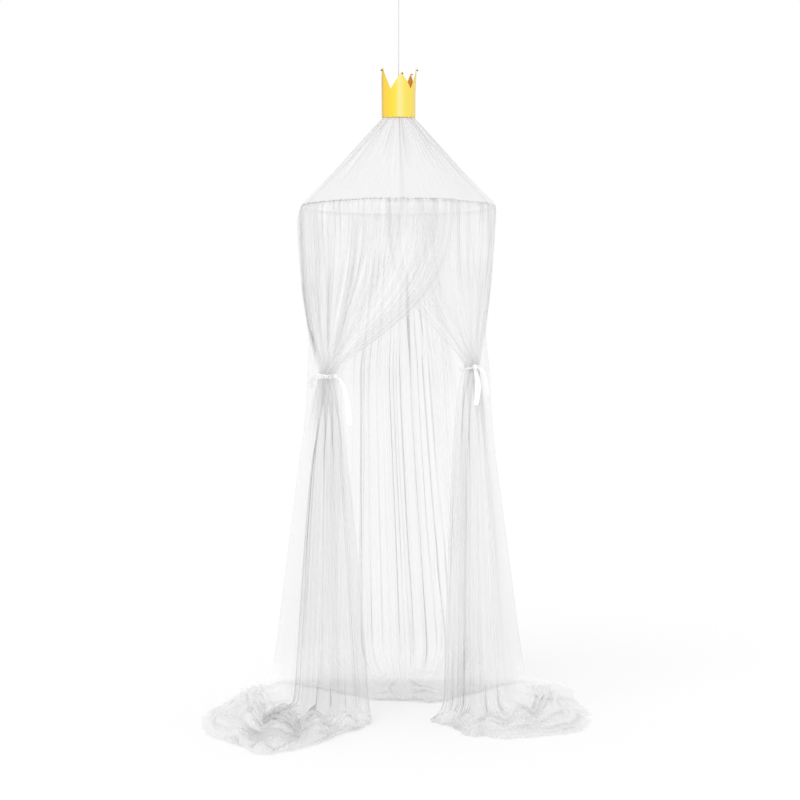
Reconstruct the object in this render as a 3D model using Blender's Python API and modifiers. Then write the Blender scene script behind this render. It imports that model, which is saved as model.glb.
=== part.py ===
"""A child's mosquito net canopy: a hoop hung by one cord, a gathered roof with a crown, and a wall
of net that is open at the front, with two tied-back curtains whose tails lie in heaps.

Metres, +Z up. The origin is the top of the cord's loop, by which the canopy hangs, and the open
front faces -Y. Heights are above the floor. Angles are degrees round the hanging axis, from the
front (-Y) toward +X."""

import math
from collections import namedtuple

import bmesh
import bpy
from mathutils import Matrix, Vector

# ---- sizes -------------------------------------------------------------------------------------
HANG_HEIGHT = 2.240  # top of the cord's loop above the floor
GAP = 0.0003  # between pieces that meet
NET_THICKNESS = 0.0011

HOOP_HEIGHT = 1.528
HOOP_RADIUS = 0.293
HOOP_TUBE = 0.004
HOOP_SIDES = (56, 8)  # round the ring, round the tube

CROWN_HEIGHT = 1.8055  # its lower edge above the floor
CROWN_RADIUS = 0.0513  # to the middle of its sheet
CROWN_THICKNESS = 0.0014
CROWN_TILT = math.radians(6.5)  # the front hangs lower
CROWN_TURN = 9.0  # its front point's angle
CROWN_STEPS = 5  # columns from a point to a valley
BEAD_RADIUS = 0.0024

KNOT_HEIGHT = 1.831  # middle of the knot inside the crown
KNOT_RADIUS = 0.0062
STRING_RADIUS = 0.0009
STRING_ANGLES = (3.5, 93.5, 177.7, 273.5)

CORD_RADIUS = 0.0014
CORD_STEP = 0.012  # between the points of its route
LOOP_KNOT_HEIGHT = 2.187
LOOP_KNOT_RADIUS = 0.0055
LOOP_HALF_WIDTH = 0.012
LOOP_POINTS = 20

ROOF_PLEATS = 18
HEM_RADIUS = 0.0057  # the wall's top hem, from the middle of the hoop's tube to the cloth's
HEM_ANGLES = (200, 140, 80, 20)  # round the tube, from outward over the top
HEM_RUCK = 0.0005  # how far the pleats lift the hem
SEAM_GAP = 0.0016  # between the edges of two widths of net, before they get their thickness
OVERLAP_LIFT = 0.0028  # the outer curtain's hem passes over the inner one's
OVERLAP_HANG = 0.0065  # and its cloth hangs this far outside
OVERLAP_ANGLES = (-32.0, -14.0)  # where that starts, and where it is whole

TIE_BAND = 0.020  # height of the part that a ribbon draws in
BUNDLE_EVEN = 0.85  # how far a bundle's outline is toward a plain oval
CORNER_HEIGHT = 0.050  # where the falling cloth starts to turn out onto the floor
FALL_STEPS = (0.04, 0.2, 0.38, 0.56, 0.72, 0.86, 0.95, 1.0)
LEG_STEPS = (0.07, 0.18, 0.34, 0.54, 0.77, 1.0)
FLOOR_STEPS = (0.12, 0.28, 0.46, 0.54, 0.70, 0.85, 1.0)
TIE_PRESS = 0.5  # share of its thickness that the cloth keeps where a ribbon draws it in

RIBBON_WIDTH = 0.016
RIBBON_THICKNESS = 0.001
RIBBON_STEPS = 18
BAND_OPENING = 14.0  # degrees of a band left open on each side of the seam
KNOT_OUT = 0.0062  # from the middle of the band to the middle of its knot

COLLECTION = "mosquito_net_canopy"

# ---- tables ------------------------------------------------------------------------------------
# The crown's upper edge: angle from its front point, height above its lower edge, and for a point
# how far its bead sits round the crown from it and below it.
CrownPoint = namedtuple("CrownPoint", "angle height bead_turn bead_drop")
CROWN_EDGE = (
    CrownPoint(-159.0, 0.080, 0.0, 0.0),
    CrownPoint(-127.0, 0.132, 0.0, 0.0050),
    CrownPoint(-99.5, 0.087, 0.0, 0.0),
    CrownPoint(-72.0, 0.1505, -2.5, 0.0090),
    CrownPoint(-37.0, 0.0846, 0.0, 0.0),
    CrownPoint(0.0, 0.1355, 3.0, 0.0045),
    CrownPoint(37.0, 0.0846, 0.0, 0.0),
    CrownPoint(72.0, 0.1505, 1.5, 0.0090),
    CrownPoint(99.5, 0.087, 0.0, 0.0),
    CrownPoint(127.0, 0.132, -1.8, 0.0008),
    CrownPoint(156.0, 0.080, 0.0, 0.0),
    CrownPoint(201.0, 0.080, 0.0, 0.0),
)

# The roof from inside the crown to the hoop: radius, height, depth of its pleats, and how much of
# the crown's tilt it shares.
RoofRow = namedtuple("RoofRow", "radius height pleat tilt")
ROOF_ROWS = (
    RoofRow(0.0230, CROWN_HEIGHT + 0.028, 0.0022, 1.0),
    RoofRow(0.0490, CROWN_HEIGHT + 0.012, 0.0030, 1.0),
    RoofRow(0.0497, CROWN_HEIGHT - 0.001, 0.0030, 1.0),
    RoofRow(0.0830, CROWN_HEIGHT - 0.037, 0.0060, 0.6),
    RoofRow(0.1400, CROWN_HEIGHT - 0.100, 0.0080, 0.25),
    RoofRow(0.2200, CROWN_HEIGHT - 0.189, 0.0070, 0.05),
    RoofRow(HOOP_RADIUS + 0.0045, HOOP_HEIGHT + 0.0106, 0.0030, 0.0),
)

# Main folds across each width of net: how wide and how deep each stands against the others.
Fold = namedtuple("Fold", "width depth")
LEFT_FOLDS = (
    Fold(0.8, 0.7), Fold(1.3, 1.0), Fold(0.7, 0.6), Fold(1.1, 0.9), Fold(0.9, 1.0),
    Fold(1.4, 0.8), Fold(1.0, 0.9),
)
RIGHT_FOLDS = (
    Fold(1.1, 0.8), Fold(0.7, 1.0), Fold(1.3, 0.7), Fold(0.9, 1.0), Fold(1.2, 0.8),
    Fold(0.8, 0.9),
)
BACK_FOLDS = (
    Fold(1.2, 0.8), Fold(0.8, 1.0), Fold(1.1, 0.6), Fold(0.7, 0.9), Fold(1.3, 1.0),
    Fold(0.9, 0.7), Fold(0.8, 1.0), Fold(1.2, 0.9), Fold(0.9, 0.6), Fold(1.1, 1.0),
)

# Where each width of net meets the floor (base), how it runs on (middle), where it ends (rim),
# and how high it heaps up. across is 0 at the front edge and 1 at the seam to the back net.
FloorRow = namedtuple("FloorRow", "across base_x base_y middle_x middle_y rim_x rim_y heap fold")
LEFT_FLOOR = (
    FloorRow(0.00, -0.082, -0.222, -0.077, -0.262, -0.084, -0.305, 0.010, 0),
    FloorRow(0.14, -0.125, -0.272, -0.118, -0.335, -0.125, -0.385, 0.022, 0),
    FloorRow(0.28, -0.180, -0.302, -0.180, -0.400, -0.182, -0.470, 0.035, 0),
    FloorRow(0.42, -0.242, -0.310, -0.295, -0.480, -0.342, -0.655, 0.050, 0),
    FloorRow(0.54, -0.290, -0.280, -0.385, -0.395, -0.448, -0.548, 0.055, 0),
    FloorRow(0.66, -0.320, -0.210, -0.450, -0.290, -0.565, -0.410, 0.055, 0),
    FloorRow(0.80, -0.345, -0.110, -0.465, -0.150, -0.585, -0.230, 0.050, 0),
    FloorRow(1.00, -0.370, 0.020, -0.440, 0.025, -0.525, 0.000, 0.035, 0),
)
RIGHT_FLOOR = (
    FloorRow(0.00, 0.132, -0.205, 0.120, -0.215, 0.105, -0.220, 0.008, 0),
    FloorRow(0.14, 0.170, -0.245, 0.150, -0.280, 0.128, -0.315, 0.018, 0),
    FloorRow(0.30, 0.215, -0.275, 0.198, -0.350, 0.185, -0.425, 0.025, 0),
    FloorRow(0.44, 0.265, -0.280, 0.272, -0.385, 0.280, -0.480, 0.030, 0),
    FloorRow(0.58, 0.310, -0.245, 0.360, -0.345, 0.410, -0.450, 0.040, 0),
    FloorRow(0.70, 0.335, -0.175, 0.435, -0.260, 0.535, -0.405, 0.045, 0),
    FloorRow(0.84, 0.355, -0.080, 0.465, -0.120, 0.570, -0.210, 0.045, 0),
    FloorRow(1.00, 0.375, 0.030, 0.455, 0.040, 0.550, 0.010, 0.030, 0),
)
# The back net, from the right seam to the left one. Its middle falls forward over its own hem.
BACK_FLOOR = (
    FloorRow(0.00, 0.375, 0.030, 0.455, 0.040, 0.550, 0.010, 0.030, 0.0),
    FloorRow(0.12, 0.405, 0.145, 0.455, 0.170, 0.515, 0.200, 0.014, 0.0),
    FloorRow(0.24, 0.375, 0.265, 0.365, 0.215, 0.440, 0.310, 0.004, 0.5),
    FloorRow(0.38, 0.205, 0.330, 0.135, -0.040, 0.180, 0.300, 0.020, 1.0),
    FloorRow(0.50, 0.010, 0.345, 0.020, -0.030, 0.010, 0.280, 0.020, 1.0),
    FloorRow(0.62, -0.195, 0.335, -0.090, -0.005, -0.170, 0.300, 0.020, 1.0),
    FloorRow(0.76, -0.375, 0.265, -0.360, 0.215, -0.430, 0.310, 0.004, 0.5),
    FloorRow(0.88, -0.405, 0.140, -0.450, 0.155, -0.500, 0.175, 0.014, 0.0),
    FloorRow(1.00, -0.370, 0.020, -0.440, 0.025, -0.525, 0.000, 0.035, 0.0),
)

# A tied-back curtain: the angles of its front edge and its seam at the hoop, the tied bundle's
# place, size and turn (how far its seam side stands out), how late its two edges swing toward the
# tie, how soon they spread below it, how deep its folds are at the hoop and near the floor, and
# whether it is the outer one in the overlap.
Curtain = namedtuple(
    "Curtain",
    "edge_angle seam_angle tie_angle tie_radius tie_height bundle_width bundle_depth bundle_turn "
    "edge_swing seam_swing edge_spread seam_spread top_fold leg_fold outer folds floor",
)
LEFT = Curtain(
    edge_angle=35.0, seam_angle=-100.0, tie_angle=-56.0, tie_radius=0.262, tie_height=1.015,
    bundle_width=0.036, bundle_depth=0.030, bundle_turn=28.0, edge_swing=2.7, seam_swing=1.6,
    edge_spread=0.62, seam_spread=0.62, top_fold=0.007, leg_fold=0.034,
    outer=True, folds=LEFT_FOLDS, floor=LEFT_FLOOR,
)
RIGHT = Curtain(
    edge_angle=-6.5, seam_angle=105.0, tie_angle=67.0, tie_radius=0.242, tie_height=1.040,
    bundle_width=0.034, bundle_depth=0.030, bundle_turn=40.0, edge_swing=3.3, seam_swing=1.6,
    edge_spread=0.34, seam_spread=0.85, top_fold=0.004, leg_fold=0.032,
    outer=False, folds=RIGHT_FOLDS, floor=RIGHT_FLOOR,
)
BACK_TIE_RADII = (0.272, 0.252)  # of the back net at the height of the ties, right and left
BACK_TIE_BULGE = 0.043  # how much further back its middle hangs there
BACK_TOP_FOLD = 0.007
BACK_TIE_FOLD = 0.016
BACK_LEG_FOLD = 0.022
BACK_BLEND = 0.20  # share of its width over which it joins each curtain
BACK_SPREAD = 1.15  # how late its middle spreads below the ties
FLOOR_FOLD = 0.018  # height of the folds that run on over the floor
RIM_FOLD = 0.012  # how far they reach past the plain rim


# ---- helpers -----------------------------------------------------------------------------------
def up(height):
    """The z of a height above the floor."""
    return height - HANG_HEIGHT


def at(angle, radius, height):
    """The place at this angle and radius round the hanging axis."""
    turn = math.radians(angle)
    return Vector((radius * math.sin(turn), -radius * math.cos(turn), up(height)))


def mix(low, high, share):
    return low + (high - low) * share


def ease(share):
    share = min(max(share, 0.0), 1.0)
    return share * share * (3.0 - 2.0 * share)


def read(table, across):
    """The table's columns at this place across, on a smooth curve through its rows."""
    index = 1
    while index < len(table) - 1 and across > table[index][0]:
        index += 1
    low, high = table[index - 1], table[index]
    share = (across - low[0]) / (high[0] - low[0])
    before = table[max(index - 2, 0)]
    after = table[min(index + 1, len(table) - 1)]
    values = [
        0.5 * (
            2.0 * b + (c - a) * share
            + (2.0 * a - 5.0 * b + 4.0 * c - d) * share ** 2
            + (3.0 * b - a - 3.0 * c + d) * share ** 3
        )
        for a, b, c, d in zip(before, low, high, after)
    ]
    return type(low)(*values)


def material(name, colour, roughness, metallic=0.0):
    made = bpy.data.materials.get(name)
    if made is None:
        made = bpy.data.materials.new(name)
        made.use_nodes = True
        shader = made.node_tree.nodes["Principled BSDF"]
        shader.inputs["Base Color"].default_value = (*colour, 1.0)
        shader.inputs["Roughness"].default_value = roughness
        shader.inputs["Metallic"].default_value = metallic
    return made


def object_from(name, mesh_maker, finish, smooth=True):
    """A new object in the part's collection, from a bmesh."""
    mesh = bpy.data.meshes.new(name)
    mesh_maker.to_mesh(mesh)
    mesh_maker.free()
    made = bpy.data.objects.new(name, mesh)
    made.data.materials.append(finish)
    if smooth:
        mesh.shade_smooth()
    bpy.data.collections[COLLECTION].objects.link(made)
    return made


def sheet(name, rows, thickness, finish, closed=False, pressed=()):
    """A sheet of cloth over rows of points, solidified evenly to both sides. pressed lists the
    rows where it is thinner."""
    columns = len(rows[0])
    maker = bmesh.new()
    bmesh.ops.create_grid(maker, x_segments=columns - 1, y_segments=len(rows) - 1, size=0.5)
    for vert in maker.verts:
        column = round((vert.co.x + 0.5) * (columns - 1))
        row = round((vert.co.y + 0.5) * (len(rows) - 1))
        vert.co = rows[row][column]
    if closed:
        bmesh.ops.remove_doubles(maker, verts=maker.verts, dist=1e-6)
    made = object_from(name, maker, finish)
    shell = made.modifiers.new("thickness", "SOLIDIFY")
    shell.thickness = thickness
    shell.offset = 0.0
    if pressed:
        thin = range(pressed[0] * columns, (pressed[-1] + 1) * columns)
        full = made.vertex_groups.new(name="full_thickness")
        full.add([i for i in range(len(made.data.vertices)) if i not in thin], 1.0, "REPLACE")
        shell.vertex_group = full.name
        shell.thickness_vertex_group = TIE_PRESS
    return made


def tube(name, points, radius, finish, cyclic=False):
    """A round tube along the points, with closed ends."""
    curve = bpy.data.curves.new(name, "CURVE")
    curve.dimensions = "3D"
    curve.bevel_depth = radius
    curve.bevel_resolution = 2
    curve.use_fill_caps = not cyclic
    spline = curve.splines.new("POLY")
    spline.points.add(len(points) - 1)
    for place, point in zip(spline.points, points):
        place.co = (*point, 1.0)
    spline.use_cyclic_u = cyclic
    curve.materials.append(finish)
    made = bpy.data.objects.new(name, curve)
    bpy.data.collections[COLLECTION].objects.link(made)
    return made


def ball(name, centre, size, finish, sides=(10, 6)):
    """A round bead or knot; size is its half width, depth and height."""
    maker = bmesh.new()
    bmesh.ops.create_uvsphere(maker, u_segments=sides[0], v_segments=sides[1], radius=1.0)
    bmesh.ops.scale(maker, vec=size, verts=maker.verts)
    bmesh.ops.translate(maker, vec=centre, verts=maker.verts)
    return object_from(name, maker, finish)


# ---- net: folds and paths ----------------------------------------------------------------------
def fold_columns(folds, ridge_share, even):
    """(across, wave) of each column of a width of net. Valleys and ridges alternate, with a valley
    at both edges, and each takes two columns. wave is 0 in a valley and 1 on the deepest ridge."""
    widths = [0.5]
    for fold in folds:
        widths += [mix(fold.width, 1.0, even), 1.0]
    widths[-1] = 0.5
    total, start, columns = sum(widths), 0.0, []
    for index, width in enumerate(widths):
        depth = mix(folds[index // 2].depth, 1.0, even) if index % 2 else 0.0
        middle = (start + width / 2) / total
        for side in (-0.5, 0.5):
            columns.append((middle + side * ridge_share * width / total, depth))
        start += width
    columns[0] = (0.0, 0.0)
    columns[-1] = (1.0, 0.0)
    return columns


def overlap(angle, curtain):
    """1 where this curtain hangs outside the other one, 0 elsewhere."""
    start, whole = OVERLAP_ANGLES
    return ease((angle - start) / (whole - start)) if curtain and curtain.outer else 0.0


def hem_rows(angles, waves, curtain=None):
    """The top hem, turned over the hoop from inside to outside."""
    rows = []
    for turn in HEM_ANGLES:
        row = []
        for angle, wave in zip(angles, waves):
            radius = HEM_RADIUS + HEM_RUCK * wave + OVERLAP_LIFT * overlap(angle, curtain)
            out = radius * math.cos(math.radians(turn))
            rise = radius * math.sin(math.radians(turn))
            row.append(at(angle, HOOP_RADIUS + out, HOOP_HEIGHT + rise))
        rows.append(row)
    return rows


def bundle_wave(curtain, across, wave):
    """How far from the bundle's middle a column lies, outward."""
    shape = math.sqrt(1.0 - (BUNDLE_EVEN * (2.0 * across - 1.0)) ** 2)
    return (wave - 0.5) * curtain.bundle_depth * shape


def side_of(curtain):
    """1 where the seam's angle is larger than the front edge's, else -1."""
    return 1.0 if curtain.seam_angle > curtain.edge_angle else -1.0


def bundle_place(curtain, across):
    """The angle and radius of a place across the tied bundle's middle line."""
    along = (across - 0.5) * curtain.bundle_width
    turn = math.radians(curtain.bundle_turn)
    sweep = math.degrees(along * math.cos(turn) / curtain.tie_radius)
    angle = curtain.tie_angle + side_of(curtain) * sweep
    return angle, curtain.tie_radius + along * math.sin(turn)


def floor_frame(table, across, side):
    """A place across a width on the floor: its table row, and the outward direction at its base."""
    here = read(table, across)
    before = read(table, max(across - 0.01, 0.0))
    after = read(table, min(across + 0.01, 1.0))
    along = Vector((after.base_x - before.base_x, after.base_y - before.base_y, 0.0))
    return here, side * Vector((along.y, -along.x, 0.0)).normalized()


def floor_rows(table, columns, leg_fold, side):
    """The rows from where the cloth starts to turn onto the floor, to its rim."""
    rows = [[] for _ in range(len(FLOOR_STEPS) + 1)]
    for index, (across, wave) in enumerate(columns):
        here, outward = floor_frame(table, across, side)
        base = Vector((here.base_x, here.base_y, 0.0)) + outward * leg_fold * (wave - 0.5)
        middle = Vector((here.middle_x, here.middle_y, 0.0))
        rim = Vector((here.rim_x, here.rim_y, 0.0))
        reach = (rim - middle).normalized() * RIM_FOLD * (wave - 0.4)
        for row, step in zip(rows, (0.0, *FLOOR_STEPS)):
            first, second = min(step * 2.0, 1.0), max(step * 2.0 - 1.0, 0.0)
            place = base.lerp(middle, ease_out(first)).lerp(rim + reach, second ** 1.4)
            turn = CORNER_HEIGHT * max(0.0, 1.0 - step / 0.42) ** 2
            lump = 0.6 + 0.4 * math.sin(5.0 * step + 1.7 * index)
            heap = here.heap * math.sin(math.pi * min(step * 1.15, 1.0)) * lump
            ridge = FLOOR_FOLD * wave * math.sin(math.pi * min(step, 0.9))
            open_height = turn + heap + ridge
            over = 0.010 + 0.020 * (1.0 - first) + ridge
            folded = turn + (over if step <= 0.5 else 0.0)
            height = max(mix(open_height, folded, here.fold), 0.0)
            row.append(place + Vector((0.0, 0.0, up(NET_THICKNESS / 2 + height))))
    return rows


def ease_out(share):
    return 1.0 - (1.0 - share) ** 1.5


def leg_rows(tops, bottoms, spreads):
    """Rows between the tie and the corner at the floor. spreads says how soon each column opens."""
    rows = []
    for step in LEG_STEPS[:-1]:
        row = []
        for top, bottom, spread in zip(tops, bottoms, spreads):
            place = top.lerp(bottom, step ** spread)
            place.z = mix(top.z, bottom.z, step)
            row.append(place)
        rows.append(row)
    return rows


def fall(hoop, tie, step, swing):
    """A column's place between the hoop and the tie. hoop and tie are (angle, radius, fold)."""
    angle = mix(hoop[0], tie[0], step ** swing)
    radius = mix(hoop[1], tie[1], step ** 1.6) + mix(hoop[2], tie[2], step ** 3)
    return angle, radius


def curtain_rows(curtain):
    """The rows of a tied-back curtain, from its top hem to its rim on the floor."""
    loose = fold_columns(curtain.folds, 0.5, 0.0)
    tied = fold_columns(curtain.folds, 0.8, 1.0)
    angles = [mix(curtain.edge_angle, curtain.seam_angle, across) for across, _ in loose]
    waves = [wave for _, wave in loose]
    rows = hem_rows(angles, waves, curtain)
    hoops = [
        (angle, HOOP_RADIUS + HEM_RADIUS + OVERLAP_HANG * overlap(angle, curtain),
         curtain.top_fold * wave)
        for angle, wave in zip(angles, waves)
    ]
    ties = [
        (*bundle_place(curtain, across), bundle_wave(curtain, across, wave))
        for across, wave in tied
    ]
    tie_top = curtain.tie_height + TIE_BAND / 2
    for step in FALL_STEPS:
        row = []
        for (across, _), hoop, tie in zip(loose, hoops, ties):
            swing = mix(curtain.edge_swing, curtain.seam_swing, across)
            angle, radius = fall(hoop, tie, step, swing)
            row.append(at(angle, radius, mix(HOOP_HEIGHT, tie_top, step)))
        rows.append(row)
    tie_low = [at(angle, radius + wave, tie_top - TIE_BAND) for angle, radius, wave in ties]
    floor = floor_rows(curtain.floor, loose, curtain.leg_fold, side_of(curtain))
    spreads = [mix(curtain.edge_spread, curtain.seam_spread, across) for across, _ in loose]
    return rows + [tie_low] + leg_rows(tie_low, floor[0], spreads) + floor


def back_rows():
    """The rows of the back net. Its edges follow the two curtains' seams, a small gap away."""
    columns = fold_columns(BACK_FOLDS, 0.5, 0.0)
    blends = [ease(min(across, 1.0 - across) / BACK_BLEND) for across, _ in columns]
    left_turn = 360.0
    angles = [
        mix(RIGHT.seam_angle, LEFT.seam_angle + left_turn, across) for across, _ in columns
    ]
    rows = hem_rows(angles, [wave for _, wave in columns])
    ties = []
    for (across, wave), blend in zip(columns, blends):
        near = RIGHT if across < 0.5 else LEFT
        right_seam, left_seam = bundle_place(RIGHT, 1.0), bundle_place(LEFT, 1.0)
        angle = mix(right_seam[0], left_seam[0] + left_turn, across)
        free = mix(*BACK_TIE_RADII, across) + BACK_TIE_BULGE * math.sin(math.pi * across)
        radius = mix(bundle_place(near, 1.0)[1], free, blend)
        edge_fold = bundle_wave(near, 1.0, 0.0)
        ties.append((angle, radius, mix(edge_fold, BACK_TIE_FOLD * wave, blend)))
    tie_tops = [mix(RIGHT.tie_height, LEFT.tie_height, across) + TIE_BAND / 2
                for across, _ in columns]
    swing = LEFT.seam_swing
    for step in FALL_STEPS:
        row = []
        for (across, wave), hoop_angle, tie, top in zip(columns, angles, ties, tie_tops):
            hoop = (hoop_angle, HOOP_RADIUS + HEM_RADIUS, BACK_TOP_FOLD * wave)
            angle, radius = fall(hoop, tie, step, swing)
            row.append(at(angle, radius, mix(HOOP_HEIGHT, top, step)))
        rows.append(row)
    tie_low = [
        at(angle, radius + wave, top - TIE_BAND)
        for (angle, radius, wave), top in zip(ties, tie_tops)
    ]
    floor = floor_rows(BACK_FLOOR, columns, BACK_LEG_FOLD, 1.0)
    spreads = []
    for (across, _), blend in zip(columns, blends):
        seam_spread = RIGHT.seam_spread if across < 0.5 else LEFT.seam_spread
        spreads.append(mix(seam_spread, BACK_SPREAD, blend))
    rows = rows + [tie_low] + leg_rows(tie_low, floor[0], spreads) + floor
    for row in rows:
        row[0] = row[0] + (row[1] - row[0]).normalized() * SEAM_GAP
        row[-1] = row[-1] + (row[-2] - row[-1]).normalized() * SEAM_GAP
    return rows


# ---- pieces ------------------------------------------------------------------------------------
def make_hoop(finish):
    bpy.ops.mesh.primitive_torus_add(
        major_radius=HOOP_RADIUS, minor_radius=HOOP_TUBE,
        major_segments=HOOP_SIDES[0], minor_segments=HOOP_SIDES[1],
        location=(0.0, 0.0, up(HOOP_HEIGHT)),
    )
    hoop = bpy.context.object
    hoop.name = hoop.data.name = "hoop"
    hoop.data.shade_smooth()
    hoop.data.materials.append(finish)
    for found in list(hoop.users_collection):
        found.objects.unlink(hoop)
    bpy.data.collections[COLLECTION].objects.link(hoop)


def tilted(place, share):
    """A place turned with the crown's tilt about the middle of its lower edge."""
    middle = Vector((0.0, 0.0, up(CROWN_HEIGHT)))
    turn = Matrix.Rotation(CROWN_TILT * share, 3, "X")
    return middle + turn @ (place - middle)


def make_roof(finish):
    rows = []
    steps = ROOF_PLEATS * 4
    for spec in ROOF_ROWS:
        row = []
        for index in range(steps + 1):
            pleat, side = (index % steps) // 4, index % 4
            uneven = 0.25 * math.sin(2.4 * pleat) if side in (1, 2) else 0.0
            depth = 1.0 + 0.35 * math.sin(4.1 * pleat + 0.6)
            inward = spec.pleat * depth if side in (0, 3) else 0.0
            angle = (index + 0.5 + uneven) * 360.0 / steps
            row.append(tilted(at(angle, spec.radius - inward, spec.height), spec.tilt))
        rows.append(row)
    sheet("roof_net", rows, NET_THICKNESS, finish, closed=True)


def make_crown(finish, bead_finish):
    tops = []
    for low, high in zip(CROWN_EDGE, CROWN_EDGE[1:]):
        for step in range(CROWN_STEPS):
            share = step / CROWN_STEPS
            tops.append((mix(low.angle, high.angle, share), mix(low.height, high.height, share)))
    tops.append((CROWN_EDGE[-1].angle, CROWN_EDGE[-1].height))

    def wall(angle, height):
        lean = 0.06 * max(0.0, height - 0.09)
        return tilted(at(angle + CROWN_TURN, CROWN_RADIUS + lean, CROWN_HEIGHT + height), 1.0)

    rows = [[wall(angle, height * share) for angle, height in tops] for share in (0.0, 0.5, 1.0)]
    sheet("crown", rows, CROWN_THICKNESS, finish, closed=True)

    points = CROWN_EDGE[1:-1:2]
    out = CROWN_THICKNESS / 2 + GAP + BEAD_RADIUS
    for number, point in enumerate(points, 1):
        height = point.height - point.bead_drop
        radius = CROWN_RADIUS + out + 0.06 * max(0.0, height - 0.09)
        angle = point.angle + CROWN_TURN + point.bead_turn
        centre = tilted(at(angle, radius, CROWN_HEIGHT + height), 1.0)
        ball(f"crown_bead_{number}", centre, (BEAD_RADIUS,) * 3, bead_finish, (8, 6))


def make_hanging(finish):
    """The knot inside the crown, the strings to the hoop, the cord, and the loop at its top."""
    knot = Vector((0.0, 0.0, up(KNOT_HEIGHT)))
    ball("crown_knot", knot, (KNOT_RADIUS, KNOT_RADIUS, KNOT_RADIUS), finish)
    over_hem = HEM_RADIUS + HEM_RUCK + NET_THICKNESS / 2 + GAP
    for number, angle in enumerate(STRING_ANGLES, 1):
        doubled = OVERLAP_LIFT if LEFT.seam_angle < angle < LEFT.edge_angle else 0.0
        corner = (over_hem + doubled) * math.sqrt(0.5)
        end = at(angle, HOOP_RADIUS - corner, HOOP_HEIGHT + corner)
        start = knot + (end - knot).normalized() * (KNOT_RADIUS + GAP)
        tube(f"hoop_string_{number}", (start, start.lerp(end, 0.5), end), STRING_RADIUS, finish)

    start = KNOT_HEIGHT + KNOT_RADIUS + GAP
    end = LOOP_KNOT_HEIGHT - LOOP_KNOT_RADIUS - GAP
    count = round((end - start) / CORD_STEP)
    cord = [Vector((0.0, 0.0, up(mix(start, end, i / count)))) for i in range(count + 1)]
    tube("hanging_cord", cord, CORD_RADIUS, finish)
    ball(
        "loop_knot", Vector((0.0, 0.0, up(LOOP_KNOT_HEIGHT))),
        (LOOP_KNOT_RADIUS * 0.85, LOOP_KNOT_RADIUS * 0.85, LOOP_KNOT_RADIUS), finish,
    )
    loop_low = LOOP_KNOT_HEIGHT + LOOP_KNOT_RADIUS + GAP + CORD_RADIUS
    loop_high = HANG_HEIGHT - CORD_RADIUS
    loop = []
    for i in range(LOOP_POINTS):
        turn = 2.0 * math.pi * i / LOOP_POINTS
        rise = 0.5 - 0.5 * math.cos(turn)
        narrow = 0.55 + 0.45 * rise
        side = LOOP_HALF_WIDTH * math.sin(turn) * narrow
        loop.append(Vector((side, 0.0, up(mix(loop_low, loop_high, rise)))))
    tube("cord_loop", loop, CORD_RADIUS, finish, cyclic=True)


# A ribbon's free end or loop: its middle line from the knot, as steps to the side (+X), toward the
# front and down, and the ribbon's turn there in degrees, 0 when it faces the front.
End = namedtuple("End", "side front down turn")
LEFT_TAIL = (
    End(0.000, 0.000, 0.000, 0), End(0.016, 0.008, 0.012, 10), End(0.026, 0.014, 0.032, 20),
    End(0.033, 0.022, 0.060, 15), End(0.039, 0.034, 0.100, 5), End(0.044, 0.047, 0.145, 0),
)
LEFT_LOOP = (
    End(0.000, 0.000, 0.000, 0), End(-0.026, 0.012, -0.002, 0), End(-0.054, 0.010, 0.002, 10),
    End(-0.074, 0.004, 0.018, 40), End(-0.068, -0.004, 0.034, 30),
)
RIGHT_TAIL = (
    End(0.000, 0.000, 0.000, 0), End(0.003, 0.012, 0.018, 10), End(0.008, 0.024, 0.045, 20),
    End(0.006, 0.040, 0.078, 10), End(0.001, 0.056, 0.112, 0),
)
RIGHT_SECOND = (
    End(0.000, 0.000, 0.000, 0), End(0.018, 0.006, 0.004, 10), End(0.030, 0.012, 0.022, 40),
    End(0.033, 0.022, 0.050, 30), End(0.036, 0.034, 0.080, 20),
)
RIGHT_SHORT = (
    End(0.000, 0.000, 0.000, 0), End(-0.018, 0.012, 0.002, 0), End(-0.036, 0.010, 0.003, 0),
    End(-0.048, 0.006, 0.006, 0),
)

# A tie: how far the middle of its ribbon stays from the bundle's outline, where its knot sits on
# the band (0 toward the seam, 90 outward, 180 toward the curtain's front edge), the knot's half
# width, depth and height, the band's height and slope, and its ends.
Tie = namedtuple("Tie", "name curtain clear knot_turn knot_size band_height slope ends")
TIES = (
    Tie("left_tie", LEFT, 0.0020, 188.0, (0.008, 0.0064, 0.008), 0.016, 0.0,
        (LEFT_TAIL, LEFT_LOOP)),
    Tie("right_tie", RIGHT, 0.0040, 117.0, (0.007, 0.0062, 0.009), 0.007, 0.22,
        (RIGHT_TAIL, RIGHT_SECOND, RIGHT_SHORT)),
)


def ribbon_rows(start, ends):
    rows = []
    for end in ends:
        turn = math.radians(end.turn)
        across = Vector((math.cos(turn), math.sin(turn), 0.0)) * RIBBON_WIDTH / 2
        middle = start + Vector((end.side, -end.front, -end.down))
        rows.append([middle - across, middle + across])
    return rows


def band_point(curtain, turn, clear):
    """A place on the oval that a ribbon follows round the bundle. turn is 0 toward the seam."""
    middle = at(curtain.tie_angle, curtain.tie_radius, curtain.tie_height)
    outward = at(curtain.tie_angle, 1.0, HANG_HEIGHT)
    tangent = at(curtain.tie_angle + 90.0 * side_of(curtain), 1.0, HANG_HEIGHT)
    skew = math.radians(curtain.bundle_turn)
    toward = tangent * math.cos(skew) + outward * math.sin(skew)
    wide = curtain.bundle_width / 2 / BUNDLE_EVEN + clear
    deep = curtain.bundle_depth / 2 + clear
    angle = math.radians(turn)
    return middle + toward * wide * math.cos(angle) + outward * deep * math.sin(angle)


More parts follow.
